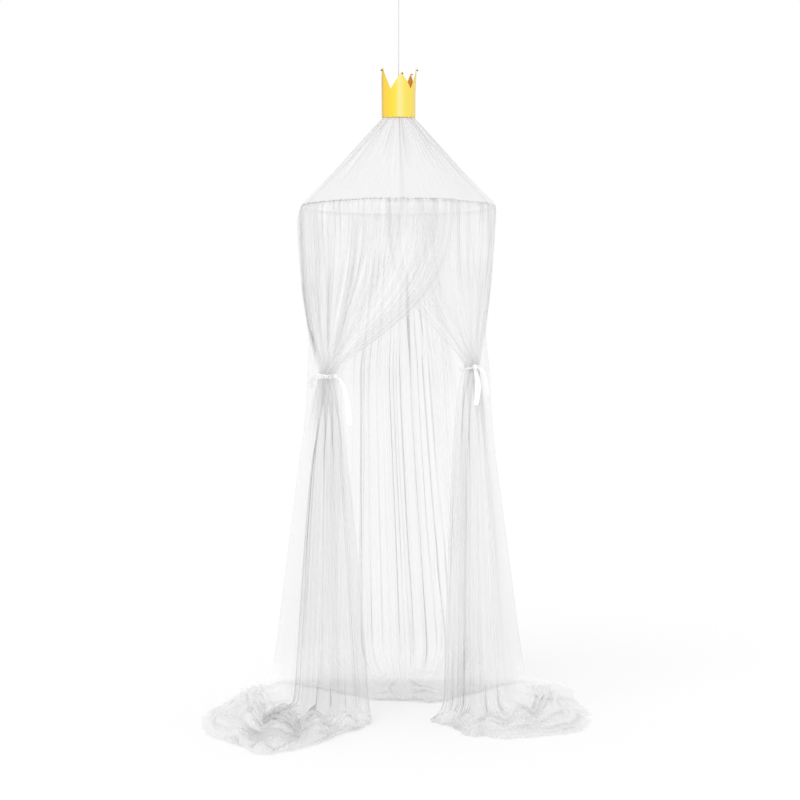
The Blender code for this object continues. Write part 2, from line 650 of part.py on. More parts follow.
def band_rows(tie):
    """The ribbon round the bundle, open where the net leaves it at the seam."""
    curtain = tie.curtain
    middle = at(curtain.tie_angle, curtain.tie_radius, 0.0)
    deep = curtain.bundle_depth / 2 + tie.clear
    seam = math.degrees(math.asin(bundle_wave(curtain, 1.0, 0.0) / deep))
    row = []
    for step in range(RIBBON_STEPS + 1):
        turn = seam + mix(BAND_OPENING, 360.0 - BAND_OPENING, step / RIBBON_STEPS)
        place = band_point(curtain, turn, tie.clear)
        place.z += tie.slope * (place.x - middle.x)
        row.append(place)
    lift = Vector((0.0, 0.0, tie.band_height / 2))
    return [[place - lift for place in row], [place + lift for place in row]]


def join(name, pieces):
    """One solid from pieces that reach into each other."""
    whole = pieces[0]
    whole.name = whole.data.name = name
    for piece in pieces[1:]:
        union = whole.modifiers.new("join", "BOOLEAN")
        union.operation = "UNION"
        union.object = piece
        piece.hide_render = True
        piece.display_type = "WIRE"
        bpy.data.collections[COLLECTION].objects.unlink(piece)
        bpy.data.collections["cutters"].objects.link(piece)


def make_tie(tie, finish):
    """A ribbon round a curtain: its band, its knot, and its loop and free ends."""
    knot = band_point(tie.curtain, tie.knot_turn, tie.clear + KNOT_OUT)
    pieces = [
        sheet(tie.name, band_rows(tie), RIBBON_THICKNESS, finish),
        ball(f"{tie.name}_knot", knot, tie.knot_size, finish, (10, 7)),
    ]
    for number, end in enumerate(tie.ends, 1):
        rows = ribbon_rows(knot, end)
        pieces.append(sheet(f"{tie.name}_end_{number}", rows, RIBBON_THICKNESS, finish))
    join(tie.name, pieces)


def main():
    for old in list(bpy.data.objects):
        bpy.data.objects.remove(old, do_unlink=True)
    for name in (COLLECTION, "cutters"):
        bpy.context.scene.collection.children.link(bpy.data.collections.new(name))

    net = material("net", (0.93, 0.93, 0.93), 0.9)
    satin = material("satin_ribbon", (0.97, 0.97, 0.97), 0.4)
    cord = material("cord", (0.90, 0.90, 0.90), 0.8)
    plastic = material("hoop_plastic", (0.92, 0.92, 0.90), 0.5)
    yellow = material("crown_yellow", (0.96, 0.70, 0.06), 0.35)
    metal = material("bead_metal", (0.25, 0.22, 0.15), 0.4, 1.0)

    make_hoop(plastic)
    make_roof(net)
    above = len(HEM_ANGLES) + len(FALL_STEPS)
    for name, curtain in (("left_curtain", LEFT), ("right_curtain", RIGHT)):
        tied = (above - 2, above + 1)
        sheet(name, curtain_rows(curtain), NET_THICKNESS, net, pressed=tied)
    sheet("back_net", back_rows(), NET_THICKNESS, net)
    for tie in TIES:
        make_tie(tie, satin)
    make_crown(yellow, metal)
    make_hanging(cord)


main()
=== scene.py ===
"""A child's mosquito net canopy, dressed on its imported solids: fine net sheets with gathered folds,
satin ribbons, a stiff yellow crown with dark beads, and a thin twisted cord.

Metres, +Z up. The origin is the top of the cord's loop and the open front faces -Y. Heights are
above the floor. Angles are degrees round the hanging axis, from the front (-Y) toward +X."""

import math
from collections import namedtuple
from functools import partial

import bmesh
import bpy
import numpy as np
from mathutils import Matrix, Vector


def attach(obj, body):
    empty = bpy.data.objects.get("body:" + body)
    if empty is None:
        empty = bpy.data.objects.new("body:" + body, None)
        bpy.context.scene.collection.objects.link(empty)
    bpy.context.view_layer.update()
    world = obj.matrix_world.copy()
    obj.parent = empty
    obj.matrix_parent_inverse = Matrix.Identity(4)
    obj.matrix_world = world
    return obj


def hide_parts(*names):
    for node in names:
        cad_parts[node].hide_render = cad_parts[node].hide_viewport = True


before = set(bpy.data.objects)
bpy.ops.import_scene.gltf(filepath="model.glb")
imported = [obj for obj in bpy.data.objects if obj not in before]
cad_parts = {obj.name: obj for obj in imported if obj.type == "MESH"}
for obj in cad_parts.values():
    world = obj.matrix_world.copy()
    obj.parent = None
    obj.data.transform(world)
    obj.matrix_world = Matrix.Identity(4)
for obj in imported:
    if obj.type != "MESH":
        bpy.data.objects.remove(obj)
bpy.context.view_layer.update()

# ---- sizes shared with the solids ----
HANG_HEIGHT = 2.240
HOOP_HEIGHT = 1.528
HOOP_RADIUS = 0.293
CROWN_HEIGHT = 1.8055
CROWN_RADIUS = 0.0513
CROWN_TILT = math.radians(6.5)
HEM_RADIUS = 0.0057
HEM_RUCK = 0.0005  # how far the hem's gathers stand out
OVERLAP_LIFT = 0.0028  # how far the left net's hem lies outside the right one's
OVERLAP_HANG = 0.0065  # the same below the hem
OVERLAP_ANGLES = (-32.0, -14.0)
TIE_BAND = 0.020  # height of the part that a ribbon holds
BUNDLE_EVEN = 0.85  # the share of an oval's width that a tied bundle fills
CORNER_HEIGHT = 0.050  # where a net turns onto the floor
CORNER_REACH = 0.42  # how far out on the floor it still does
FLOOR_FOLD = 0.018
RIM_FOLD = 0.012
RIM_UNEVEN = 0.022  # how far the rim on the floor strays in and out
RIM_WAVES, RIM_RIPPLES = (15, 7), (47, 8)  # how many times it does so, and from which seed
BACK_TIE_RADII = (0.272, 0.252)
BACK_TIE_BULGE = 0.043
BACK_TOP_FOLD = 0.007
BACK_TIE_FOLD = 0.016
BACK_LEG_FOLD = 0.022
BACK_BLEND = 0.20
BACK_SPREAD = 1.15
BACK_OVER = (0.010, 0.030)  # how high the part that is folded back lies over the other
HEM_TURNS = (200.0, 20.0)  # from where to where the hem goes round the hoop's tube
FLOOR_CLEAR = 0.0006  # the least height of a net above the floor
CORD_RADIUS = 0.0014
KNOT_TOP = 1.8375  # where the cord leaves the knot inside the crown
LOOP_KNOT_LOW = 2.1812  # where it meets the knot under its loop


def table_of(kind, *rows):
    """Rows of plain numbers as named tuples of this kind."""
    return tuple(kind(*row) for row in rows)


Fold = namedtuple("Fold", "width depth")
LEFT_FOLDS = table_of(
    Fold,
    (0.8, 0.7), (1.3, 1), (0.7, 0.6), (1.1, 0.9), (0.9, 1), (1.4, 0.8), (1, 0.9),
)
RIGHT_FOLDS = table_of(
    Fold,
    (1.1, 0.8), (0.7, 1), (1.3, 0.7), (0.9, 1), (1.2, 0.8), (0.8, 0.9),
)
BACK_FOLDS = table_of(
    Fold,
    (1.2, 0.8), (0.8, 1), (1.1, 0.6), (0.7, 0.9), (1.3, 1), (0.9, 0.7), (0.8, 1), (1.2, 0.9),
    (0.9, 0.6), (1.1, 1),
)
# The tails on the floor: where the net meets it, its middle and its rim, how high it heaps, and how
# much of it is folded forward.
FloorRow = namedtuple(
    "FloorRow", "across base_x base_y middle_x middle_y rim_x rim_y heap fold", defaults=(0,)
)
LEFT_FLOOR = table_of(
    FloorRow,
    (0, -0.082, -0.222, -0.077, -0.262, -0.084, -0.305, 0.01),
    (0.14, -0.125, -0.272, -0.118, -0.335, -0.125, -0.385, 0.022),
    (0.28, -0.18, -0.302, -0.18, -0.4, -0.182, -0.47, 0.035),
    (0.42, -0.242, -0.31, -0.295, -0.48, -0.342, -0.655, 0.05),
    (0.54, -0.29, -0.28, -0.385, -0.395, -0.448, -0.548, 0.055),
    (0.66, -0.32, -0.21, -0.45, -0.29, -0.565, -0.41, 0.055),
    (0.8, -0.345, -0.11, -0.465, -0.15, -0.585, -0.23, 0.05),
    (1, -0.37, 0.02, -0.44, 0.025, -0.525, 0, 0.035),
)
RIGHT_FLOOR = table_of(
    FloorRow,
    (0, 0.132, -0.205, 0.12, -0.215, 0.105, -0.22, 0.008),
    (0.14, 0.17, -0.245, 0.15, -0.28, 0.128, -0.315, 0.018),
    (0.3, 0.215, -0.275, 0.198, -0.35, 0.185, -0.425, 0.025),
    (0.44, 0.265, -0.28, 0.272, -0.385, 0.28, -0.48, 0.03),
    (0.58, 0.31, -0.245, 0.36, -0.345, 0.41, -0.45, 0.04),
    (0.7, 0.335, -0.175, 0.435, -0.26, 0.535, -0.405, 0.045),
    (0.84, 0.355, -0.08, 0.465, -0.12, 0.57, -0.21, 0.045),
    (1, 0.375, 0.03, 0.455, 0.04, 0.55, 0.01, 0.03),
)
BACK_FLOOR = table_of(
    FloorRow,
    (0, 0.375, 0.03, 0.455, 0.04, 0.55, 0.01, 0.03),
    (0.12, 0.405, 0.145, 0.455, 0.17, 0.515, 0.2, 0.014),
    (0.24, 0.375, 0.265, 0.365, 0.215, 0.44, 0.31, 0.004, 0.5),
    (0.38, 0.205, 0.33, 0.135, -0.04, 0.18, 0.3, 0.02, 1),
    (0.5, 0.01, 0.345, 0.02, -0.03, 0.01, 0.28, 0.02, 1),
    (0.62, -0.195, 0.335, -0.09, -0.005, -0.17, 0.3, 0.02, 1),
    (0.76, -0.375, 0.265, -0.36, 0.215, -0.43, 0.31, 0.004, 0.5),
    (0.88, -0.405, 0.14, -0.45, 0.155, -0.5, 0.175, 0.014),
    (1, -0.37, 0.02, -0.44, 0.025, -0.525, 0, 0.035),
)
Curtain = namedtuple(
    "Curtain",
    "edge_angle seam_angle tie_angle tie_radius tie_height bundle_width bundle_depth bundle_turn "
    "edge_swing seam_swing edge_spread seam_spread top_fold leg_fold outer folds floor",
)
LEFT = Curtain(
    edge_angle=35.0, seam_angle=-100.0, tie_angle=-56.0, tie_radius=0.262, tie_height=1.015,
    bundle_width=0.036, bundle_depth=0.030, bundle_turn=28.0, edge_swing=2.7, seam_swing=1.6,
    edge_spread=0.62, seam_spread=0.62, top_fold=0.007, leg_fold=0.034,
    outer=True, folds=LEFT_FOLDS, floor=LEFT_FLOOR,
)
RIGHT = Curtain(
    edge_angle=-6.5, seam_angle=105.0, tie_angle=67.0, tie_radius=0.242, tie_height=1.040,
    bundle_width=0.034, bundle_depth=0.030, bundle_turn=40.0, edge_swing=3.3, seam_swing=1.6,
    edge_spread=0.34, seam_spread=0.85, top_fold=0.004, leg_fold=0.032,
    outer=False, folds=RIGHT_FOLDS, floor=RIGHT_FLOOR,
)

# ---- fine folds of the net ----
# A row's station runs from -0.2 (inside the top hem) over 0 (hoop), 1 (tie) and 2 (floor) to 3
# (rim). Each profile gives how far the fine folds double over and how deep they are there.
Profile = namedtuple("Profile", "station double depth ripple")
CURTAIN_PROFILE = table_of(
    Profile,
    (-0.2, 0.2, 0.0003, 0.0006), (0, 0.5, 0.0012, 0.0016), (0.08, 0.7, 0.0034, 0.0016),
    (0.5, 0.8, 0.005, 0.0008), (0.75, 0.55, 0.003, 0.0004), (0.9, 0.2, 0.0012, 0.0003),
    (1, 0.08, 0.0005, 0.0002), (1.08, 0.08, 0.0005, 0.0002), (1.25, 0.95, 0.005, 0.0006),
    (1.8, 0.95, 0.007, 0.0012), (2.1, 0.85, 0.008, 0.002), (2.6, 0.6, 0.006, 0.003),
    (3, 0.4, 0.004, 0.004),
)
# The same for the part of the back net that hangs free between the ties.
FREE_PROFILE = CURTAIN_PROFILE[:2] + table_of(
    Profile,
    (0.08, 0.7, 0.0034, 0.0014), (0.5, 0.9, 0.005, 0.0008), (1, 0.95, 0.0055, 0.0006),
    (1.25, 0.95, 0.0055, 0.0006),
) + CURTAIN_PROFILE[-4:]
# The parts of a net from its top down: their stations and how many rows they have.
Part = namedtuple("Part", "start end count")
PARTS = {
    "hem": Part(-0.2, 0.0, 6), "fall": Part(0.0, 1.0, 46), "tie": Part(1.0, 1.06, 4),
    "leg": Part(1.06, 2.0, 50), "floor": Part(2.0, 3.0, 84),
}

# Across each width of net: how many fine folds stand in a place against the others, how strong
# they are above and below the tie, how much of the main folds' depth the sheet keeps below it,
# and how much it crumples on the floor.
Spread = namedtuple("Spread", "across density above below main crumple")
LEFT_SPREAD = table_of(
    Spread,
    (0, 1, 0.3, 0.08, 0.3, 0), (0.06, 1.2, 0.5, 0.12, 0.25, 0.2),
    (0.13, 1.1, 0.6, 0.22, 0.25, 0.15), (0.2, 1, 0.7, 0.32, 0.15, 0.25),
    (0.38, 1, 0.8, 0.32, 0.1, 0.9), (0.56, 1.2, 1, 0.3, 0.1, 1.2), (0.63, 0.9, 1, 0.1, 0, 0.6),
    (0.92, 0.9, 1.1, 0.04, 0, 0.4), (1, 0.8, 0.9, 0.04, 0, 0),
)
RIGHT_SPREAD = table_of(
    Spread,
    (0, 1, 0.3, 0.12, 0.3, 0), (0.06, 1.2, 0.4, 0.18, 0.25, 0.1), (0.13, 1.1, 0.5, 0.32, 0.2, 0.1),
    (0.25, 1, 0.4, 0.32, 0.1, 0.15), (0.55, 0.9, 0.45, 0.26, 0.1, 0.6),
    (0.7, 0.8, 0.4, 0.12, 0.05, 0.9), (0.92, 0.8, 0.4, 0.05, 0, 0.6), (1, 0.8, 0.4, 0.05, 0, 0),
)
BACK_SPREAD_FINE = table_of(
    Spread,
    (0, 0.6, 0.5, 0.04, 0, 0), (0.08, 0.6, 0.6, 0.04, 0, 0.2), (0.25, 0.6, 0.6, 0.1, 0.1, 0),
    (0.38, 2.2, 1, 0.6, 0.7, 0.2), (0.45, 2.4, 1, 0.65, 0.8, 0.6), (0.6, 2.4, 1, 0.6, 0.8, 0.2),
    (0.72, 0.8, 0.6, 0.1, 0.1, 0), (0.92, 0.6, 0.6, 0.04, 0, 0.2), (1, 0.6, 0.5, 0.04, 0, 0),
)
# Single creases: where across, how wide, from which station to which, the painted shade in them
# (below 0 painted light, where they catch the light), how far they double over and how deep they are.
Crease = namedtuple("Crease", "across width start end shade double depth", defaults=(0, 0))
LEFT_CREASES = table_of(
    Crease,
    (0.3, 0.3, 1, 2.25, 0.31), (0.28, 0.26, 1, 1.6, 0.4), (0.3, 0.28, 1.75, 2.35, 0.42),
    (0.3, 0.35, 1.9, 3.4, 0.08), (0.5, 0.11, 1.95, 2.75, 0.3), (0.55, 0.2, 0.3, 1, 0.14),
    (0.8, 0.26, -0.1, 1, 0.14), (0.56, 0.03, 1, 2.4, 0.3), (0.595, 0.01, 1, 2.3, 0.55, 1.7, 0.008),
    (0.57, 0.012, 1, 1.7, 0.6, 1.6, 0.004), (0.01, 0.012, 1, 1.3, 0.3, 1, 0.002),
    (0.955, 0.022, 0, 1.02, 1, 1.4, 0.004), (0.915, 0.05, 0.4, 1.02, 0.55),
    (0.86, 0.012, 0.7, 1.1, 0.9, 1.5, 0.003), (0.7, 0.01, 0.86, 1.12, 0.8, 1.5, 0.003),
    (0.6, 0.012, 0.9, 1.15, 0.8, 1.5, 0.003), (0.5, 0.09, 1.1, 2.2, 0.42),
    (0.085, 0.045, 0.5, 1, 0.16), (0.43, 0.032, 1.86, 2.22, 0.9, 1.2, 0.01),
    (0.335, 0.026, 1.88, 2.18, 0.75, 1.2, 0.008), (0.24, 0.018, 1.9, 2.15, 0.5, 1.2, 0.006),
    (0.43, 0.006, 0.1, 0.95, -1, -0.9, 0.003), (0.395, 0.005, 0.3, 0.85, -1, -0.9, 0.003),
    (0.48, 0.005, 0.2, 0.8, -0.9, -0.9, 0.003), (0.27, 0.005, 0.35, 0.9, -0.9, -0.9, 0.003),
    (0.235, 0.006, 0.1, 0.85, -1, -0.9, 0.003), (0.205, 0.005, 0.15, 0.75, -1, -0.9, 0.003),
    (0.175, 0.005, 0.3, 0.9, -0.9, -0.9, 0.003), (0.13, 0.006, 0.2, 0.7, -1, -0.9, 0.003),
    (0.085, 0.005, 0.25, 0.6, -0.9, -0.9, 0.003), (0.06, 0.004, 0.5, 0.95, -0.9, -0.9, 0.003),
)
RIGHT_CREASES = table_of(
    Crease,
    (0.25, 0.35, 1, 2.25, 0.24), (0.2, 0.3, 1, 1.7, 0.35), (0.28, 0.3, 1.75, 2.35, 0.36),
    (0.3, 0.3, 1.9, 3.4, 0.13), (0.6, 0.35, 0.3, 1, 0.09), (0.01, 0.01, 1, 1.35, 0.2, 1, 0.002),
    (0.43, 0.03, 1.88, 2.25, 0.9, 1.2, 0.01), (0.54, 0.034, 1.9, 2.22, 0.6, 1, 0.008),
    (0.025, 0.02, 0.86, 1.12, 0.8), (0.6, 0.03, 0.9, 1.12, 0.6),
    (0.085, 0.005, 0.1, 0.9, -1, -0.9, 0.003), (0.2, 0.004, 0.5, 0.9, -0.8, -0.9, 0.003),
)
# Painted light: pale patches under the left curtain's hem, where its gathers let the light through.
PAINTED_LIGHT_PATCHES = (
    0.07, 0.11, 0.16, 0.175, 0.22, 0.27, 0.285, 0.33, 0.36, 0.41, 0.44, 0.46, 0.52, 0.55, 0.60, 0.64,
)
BACK_CREASES = table_of(
    Crease,
    (0.452, 0.006, 0.3, 2.2, 0.6, 1.8, 0.006), (0.575, 0.005, 0.2, 2.2, 0.45, 1.8, 0.006),
    (0.555, 0.003, 0.2, 2.1, 0.35, 1.7, 0.004), (0.532, 0.003, 0.2, 2.1, 0.3, 1.7, 0.004),
    (0.497, 0.003, 0.2, 2.1, 0.35, 1.7, 0.004), (0.487, 0.003, 0.4, 2.1, 0.25, 1.7, 0.004),
    (0.473, 0.003, 0.3, 2.1, 0.3, 1.7, 0.004), (0.437, 0.003, 0.3, 2.1, 0.3, 1.7, 0.004),
    (0.421, 0.003, 0.3, 2.1, 0.4, 1.7, 0.004), (0.405, 0.003, 0.3, 2.1, 0.3, 1.7, 0.004),
    (0.18, 0.15, 1.9, 3.4, -1), (0.82, 0.15, 1.9, 3.4, -1),
)
ROOF_ROWS_FINE = 60
PLACES = 1600  # columns of the plain surface that the fine folds are drawn on
CALM_EDGE = 1.0 / 14.0  # the share across, at each edge, where the folds fade
STRENGTH, STRENGTH_STRAY = 0.75, 0.65  # the fine folds' depth against their table's, and its stray
SECOND_WAVE, SECOND_RATE = 0.35, 2.3  # a weaker wave that makes the folds uneven
LEAN = 1.35  # how far the folds stand to their side, against their depth
RIPPLE_RATE = 3.1  # ripples to each fine fold
WANDER = 0.25  # how far a crease wanders, against its width
CREASE_IN, CREASE_OUT = 0.12, 0.20  # the stations over which it comes and goes
TUCK_STATION = 1.8  # tucks that start below this one open out downward
TUCK_WIDTHS = (0.3, 1.7)
TIE_STATION, TIE_REACH = 1.01, 0.13
TIE_PAINTED_LIGHT, TIE_PAINTED_LIGHT_WAVE = 0.22, 0.20  # painted light on the net at the ties, and how much of it follows the fine folds
CRUMPLES = 6.0  # folds the other way, from the foot of the net to its rim
CRUMPLE_SLIDE, CRUMPLE_LIFT = 0.75, 0.008
# Painted shade in the valleys of the crumpled folds on the floor, and where on their slope it starts.
VALLEY_PAINTED_SHADE, VALLEY_START = 0.8, 0.55


# ---- helpers ----
def up(height):
    """The z of a height above the floor."""
    return height - HANG_HEIGHT


def at(angle, radius, height):
    """Places at these angles and radii round the hanging axis."""
    turn = np.radians(angle)
    height = np.broadcast_to(height, np.shape(turn))
    return xyz(radius * np.sin(turn), -radius * np.cos(turn), up(height))


def mix(low, high, share):
    return low + (high - low) * share


def xyz(x, y, z):
    return np.stack([x, y, z], axis=-1)


def unit(vectors):
    return vectors / np.maximum(np.linalg.norm(vectors, axis=-1, keepdims=True), 1e-12)


def ease(share):
    share = np.clip(share, 0.0, 1.0)
    return share * share * (3.0 - 2.0 * share)


def read(table, across):
    """The table's columns at these places across, on smooth curves through its rows."""
    values = np.array(table, float)
    knots = values[:, 0]
    high = np.clip(np.searchsorted(knots, across), 1, len(table) - 1)
    low = high - 1
    share = ((across - knots[low]) / (knots[high] - knots[low]))[..., None]
    a, b = values[np.maximum(low - 1, 0)], values[low]
    c, d = values[high], values[np.minimum(high + 1, len(table) - 1)]
    mixed = 0.5 * (
        2.0 * b + (c - a) * share
        + (2.0 * a - 5.0 * b + 4.0 * c - d) * share ** 2
        + (3.0 * b - a - 3.0 * c + d) * share ** 3
    )
    return type(table[0])(*np.moveaxis(mixed, -1, 0))


def uneven(places, knots, seed):
    """A soft random curve between -1 and 1 over places from 0 to 1, with this many knots."""
    values = np.random.default_rng(seed).uniform(-1.0, 1.0, knots + 3)
    spot = np.clip(places, 0.0, 1.0) * knots
    index = np.floor(spot).astype(int)
    return mix(values[index], values[index + 1], ease(spot - index))


def uneven_field(across, down, across_knots, down_knots, seed):
    """The same over two directions."""
    values = np.random.default_rng(seed).uniform(-1.0, 1.0, (down_knots + 3, across_knots + 3))
    x = np.clip(across, 0.0, 1.0) * across_knots
    y = np.clip(down, 0.0, 1.0) * down_knots
    column, row = np.floor(x).astype(int), np.floor(y).astype(int)
    right, low = ease(x - column), ease(y - row)
    upper = mix(values[row, column], values[row, column + 1], right)
    lower = mix(values[row + 1, column], values[row + 1, column + 1], right)
    return mix(upper, lower, low)


# ---- materials ----
COLOUR_MIX_SOCKETS = (0, 6, 7)  # the factor and the two colours of a mix node that mixes colours
COLOUR_MIX_RESULT = 2
THREADS = 700.0  # threads to a metre of net
STREAKS = (90.0, 2.5)  # streaks of tone to a metre across and down
STREAK_TONE = 0.03
PAINTED_SHADE_TONE, PAINTED_LIGHT_TONE = 0.12, 1.0  # the net's colour under full painted shade, and under full painted light


class Finish:
    """A procedural material: its Principled shader and short ways to add nodes to it."""

    def __init__(self, name, colour, roughness):
        self.material = bpy.data.materials.new(name)
        self.material.use_nodes = True
        self.tree = self.material.node_tree
        self.shader = self.tree.nodes["Principled BSDF"]
        self.set("Base Color", (*colour, 1.0))
        self.set("Roughness", roughness)

    def set(self, socket, value):
        self.shader.inputs[socket].default_value = value

    def node(self, kind, **values):
        made = self.tree.nodes.new(kind)
        for key, value in values.items():
            if key in made.inputs:
                made.inputs[key].default_value = value
            else:
                setattr(made, key, value)
        return made

    def link(self, source, target):
        self.tree.links.new(source, target)

    def places(self, kind, scale):
        """Coordinates of this kind (UV or Object), scaled."""
        source = self.node("ShaderNodeTexCoord")
        mapping = self.node("ShaderNodeMapping", Scale=scale)
        self.link(source.outputs[kind], mapping.inputs["Vector"])
        return mapping.outputs["Vector"]

    def noise(self, places, detail):
        made = self.node("ShaderNodeTexNoise", Scale=1.0, Detail=detail)
        self.link(places, made.inputs["Vector"])
        return made.outputs["Fac"]

    def ramp(self, source, *stops):
        """Colours at positions of a value; each stop is (position, colour)."""
        made = self.node("ShaderNodeValToRGB")
        elements = made.color_ramp.elements
        while len(elements) < len(stops):
            elements.new(0.5)
        for element, (position, colour) in zip(elements, stops):
            element.position = position
            element.color = (*colour, 1.0)
        self.link(source, made.inputs["Fac"])
        return made.outputs["Color"]

    def share(self, source, low, high):
        """How far a value has come from low to high."""
        made = self.node("ShaderNodeMapRange", **{"From Min": low, "From Max": high})
        self.link(source, made.inputs["Value"])
        return made.outputs["Result"]

    def mixed(self, factor, low, high, blend="MIX"):
        """Two colours mixed. Each value is a socket or a constant."""
        made = self.node("ShaderNodeMix", data_type="RGBA", blend_type=blend)
        for source, socket in zip((factor, low, high), COLOUR_MIX_SOCKETS):
            if isinstance(source, bpy.types.NodeSocket):
                self.link(source, made.inputs[socket])
            else:
                made.inputs[socket].default_value = source
        return made.outputs[COLOUR_MIX_RESULT]

    def paint(self, colour):
        self.link(colour, self.shader.inputs["Base Color"])

    def bump(self, source, strength, distance=0.0002):
        made = self.node("ShaderNodeBump", Strength=strength, Distance=distance)
        self.link(source, made.inputs["Height"])
        self.link(made.outputs["Normal"], self.shader.inputs["Normal"])


def grained(name, colour, roughness, kind, scale, detail, low, high, bump=0.0):
    """A finish whose colour wanders in fine grains between two tones."""
    made = Finish(name, colour, roughness)
    grain = made.noise(made.places(kind, scale), detail)
    made.paint(made.ramp(grain, (0.3, low), (0.7, high)))
    if bump:
        made.bump(grain, bump)
    return made


def net_finish(name, cover, tone):
    """Sheer white net: threads a millimetre or so apart, streaks of random tone, and painted shade
    and painted light from the mesh's shading attribute. cover is the share of the light that one
    layer holds back, tone how white it is."""
    net = Finish(name, (tone, tone, tone), 0.85)
    net.set("Alpha", cover)
    net.set("Sheen Weight", 0.15)
    net.set("Sheen Roughness", 0.6)
    streaks = net.noise(net.places("UV", (*STREAKS, 1.0)), 3.0)
    dark, pale = tone - STREAK_TONE, tone + STREAK_TONE
    colour = net.ramp(streaks, (0.30, (dark, dark, dark + 0.01)), (0.68, (pale,) * 3))
    # The mesh's shading attribute darkens the colour where it is above 0 (painted shade) and whitens it
    # where it is below 0 (painted light).
    painted_shading = net.node("ShaderNodeAttribute", attribute_name="painted_shading").outputs["Fac"]
    painted_light = net.node("ShaderNodeMath", operation="MULTIPLY")
    painted_light.inputs[1].default_value = -1.0
    net.link(painted_shading, painted_light.inputs[0])
    for factor, shade in ((painted_shading, PAINTED_SHADE_TONE), (painted_light.outputs[0], PAINTED_LIGHT_TONE)):
        colour = net.mixed(factor, colour, (shade, shade, shade, 1.0))
    net.paint(colour)
    threads = net.node(
        "ShaderNodeTexVoronoi", feature="DISTANCE_TO_EDGE", Scale=1.0, Randomness=0.15
    )
    net.link(net.places("UV", (THREADS, THREADS, 1.0)), threads.inputs["Vector"])
    net.bump(threads.outputs["Distance"], 0.25)
    return net


# ---- objects ----
def placed(name, data):
    """A new object in the scene."""
    made = bpy.data.objects.new(name, data)
    bpy.context.scene.collection.objects.link(made)
    return made


def mesh_from(maker, name, finish):
    mesh = bpy.data.meshes.new(name)
    maker.to_mesh(mesh)
    maker.free()
    mesh.materials.append(finish.material)
    return mesh


def dress(finish, *names):
    """Gives solids that stay this finish."""
    for name in names:
        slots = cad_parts[name].data.materials
        slots.clear()
        slots.append(finish.material)


# ---- net surfaces ----
def soft_columns(folds, ridge_share, even):
    """(across, wave, the solid's column) on soft curves over PLACES columns. Valleys and ridges
    alternate, with half a valley at each edge."""
    widths, depths = np.ones(2 * len(folds) + 1), np.zeros(2 * len(folds) + 1)
    widths[[0, -1]] = 0.5
    widths[1::2] = [mix(fold.width, 1.0, even) for fold in folds]
    depths[1::2] = [mix(fold.depth, 1.0, even) for fold in folds]
    middles = np.cumsum(widths) - widths / 2
    half = ridge_share * widths / 2
    across = np.stack([middles - half, middles + half], axis=-1).ravel() / widths.sum()
    across[0], across[-1] = 0.0, 1.0
    wave = np.repeat(depths, 2)
    spot = np.linspace(0.0, len(across) - 1.0, PLACES)
    index = np.minimum(spot.astype(int), len(across) - 2)
    share = spot - index
    return (
        mix(across[index], across[index + 1], share),
        mix(wave[index], wave[index + 1], ease(share)),
        spot,
    )


def overlap(angle, curtain):
    """1 where this curtain hangs outside the other one, 0 elsewhere."""
    start, whole = OVERLAP_ANGLES
    if curtain is None or not curtain.outer:
        return np.zeros_like(angle)
    return ease((angle - start) / (whole - start))


def hem_row(angles, waves, turn, curtain):
    """A row of the top hem; turn is its place round the hoop's tube, from outward over the top."""
    radius = HEM_RADIUS + HEM_RUCK * waves + OVERLAP_LIFT * overlap(angles, curtain)
    out = radius * math.cos(math.radians(turn))
    rise = radius * math.sin(math.radians(turn))
    return at(angles, HOOP_RADIUS + out, HOOP_HEIGHT + rise)


def bundle_wave(curtain, across, wave):
    shape = np.sqrt(1.0 - (BUNDLE_EVEN * (2.0 * across - 1.0)) ** 2)
    return (wave - 0.5) * curtain.bundle_depth * shape


def side_of(curtain):
    return 1.0 if curtain.seam_angle > curtain.edge_angle else -1.0


def bundle_place(curtain, across):
    """The angle and radius of a place across the tied bundle's middle line."""
    along = (across - 0.5) * curtain.bundle_width
    turn = math.radians(curtain.bundle_turn)
    sweep = np.degrees(along * math.cos(turn) / curtain.tie_radius)
    return curtain.tie_angle + side_of(curtain) * sweep, curtain.tie_radius + along * math.sin(turn)


def floor_frame(table, across, side):
    here = read(table, across)
    before = read(table, np.maximum(across - 0.01, 0.0))
    after = read(table, np.minimum(across + 0.01, 1.0))
    flat = np.zeros_like(across)
    outward = xyz(after.base_y - before.base_y, before.base_x - after.base_x, flat)
    return here, unit(side * outward)


def floor_row(table, across, wave, column, leg_fold, side, step):
    """One row on the floor; step runs from the corner under the leg (0) to the rim (1)."""
    here, outward = floor_frame(table, across, side)
    flat = np.zeros_like(across)
    stand = outward * (leg_fold * (wave - 0.5))[:, None]
    base = xyz(here.base_x, here.base_y, flat) + stand
    middle = xyz(here.middle_x, here.middle_y, flat)
    rim = xyz(here.rim_x, here.rim_y, flat)
    stray = uneven(across, *RIM_WAVES) + 0.6 * uneven(across, *RIM_RIPPLES)
    stray = RIM_UNEVEN * stray * ease(np.minimum(across, 1.0 - across) * 12.0)
    reach = unit(rim - middle) * (RIM_FOLD * (wave - 0.4) + stray)[:, None]
    first, second = min(step * 2.0, 1.0), max(step * 2.0 - 1.0, 0.0)
    place = mix(base, middle, 1.0 - (1.0 - first) ** 1.5)
    place = mix(place, rim + reach, second ** 1.4)
    turn = CORNER_HEIGHT * max(0.0, 1.0 - step / CORNER_REACH) ** 2
    lump = 0.6 + 0.4 * np.sin(5.0 * step + 1.7 * column)
    heap = here.heap * math.sin(math.pi * min(step * 1.15, 1.0)) * lump
    ridge = FLOOR_FOLD * wave * math.sin(math.pi * min(step, 0.9))
    open_height = turn + heap + ridge
    over = mix(*BACK_OVER, 1.0 - first) + ridge
    folded = turn + (over if step <= 0.5 else 0.0)
    place[:, 2] = up(np.maximum(mix(open_height, folded, here.fold), 0.0) + FLOOR_CLEAR)
    return place


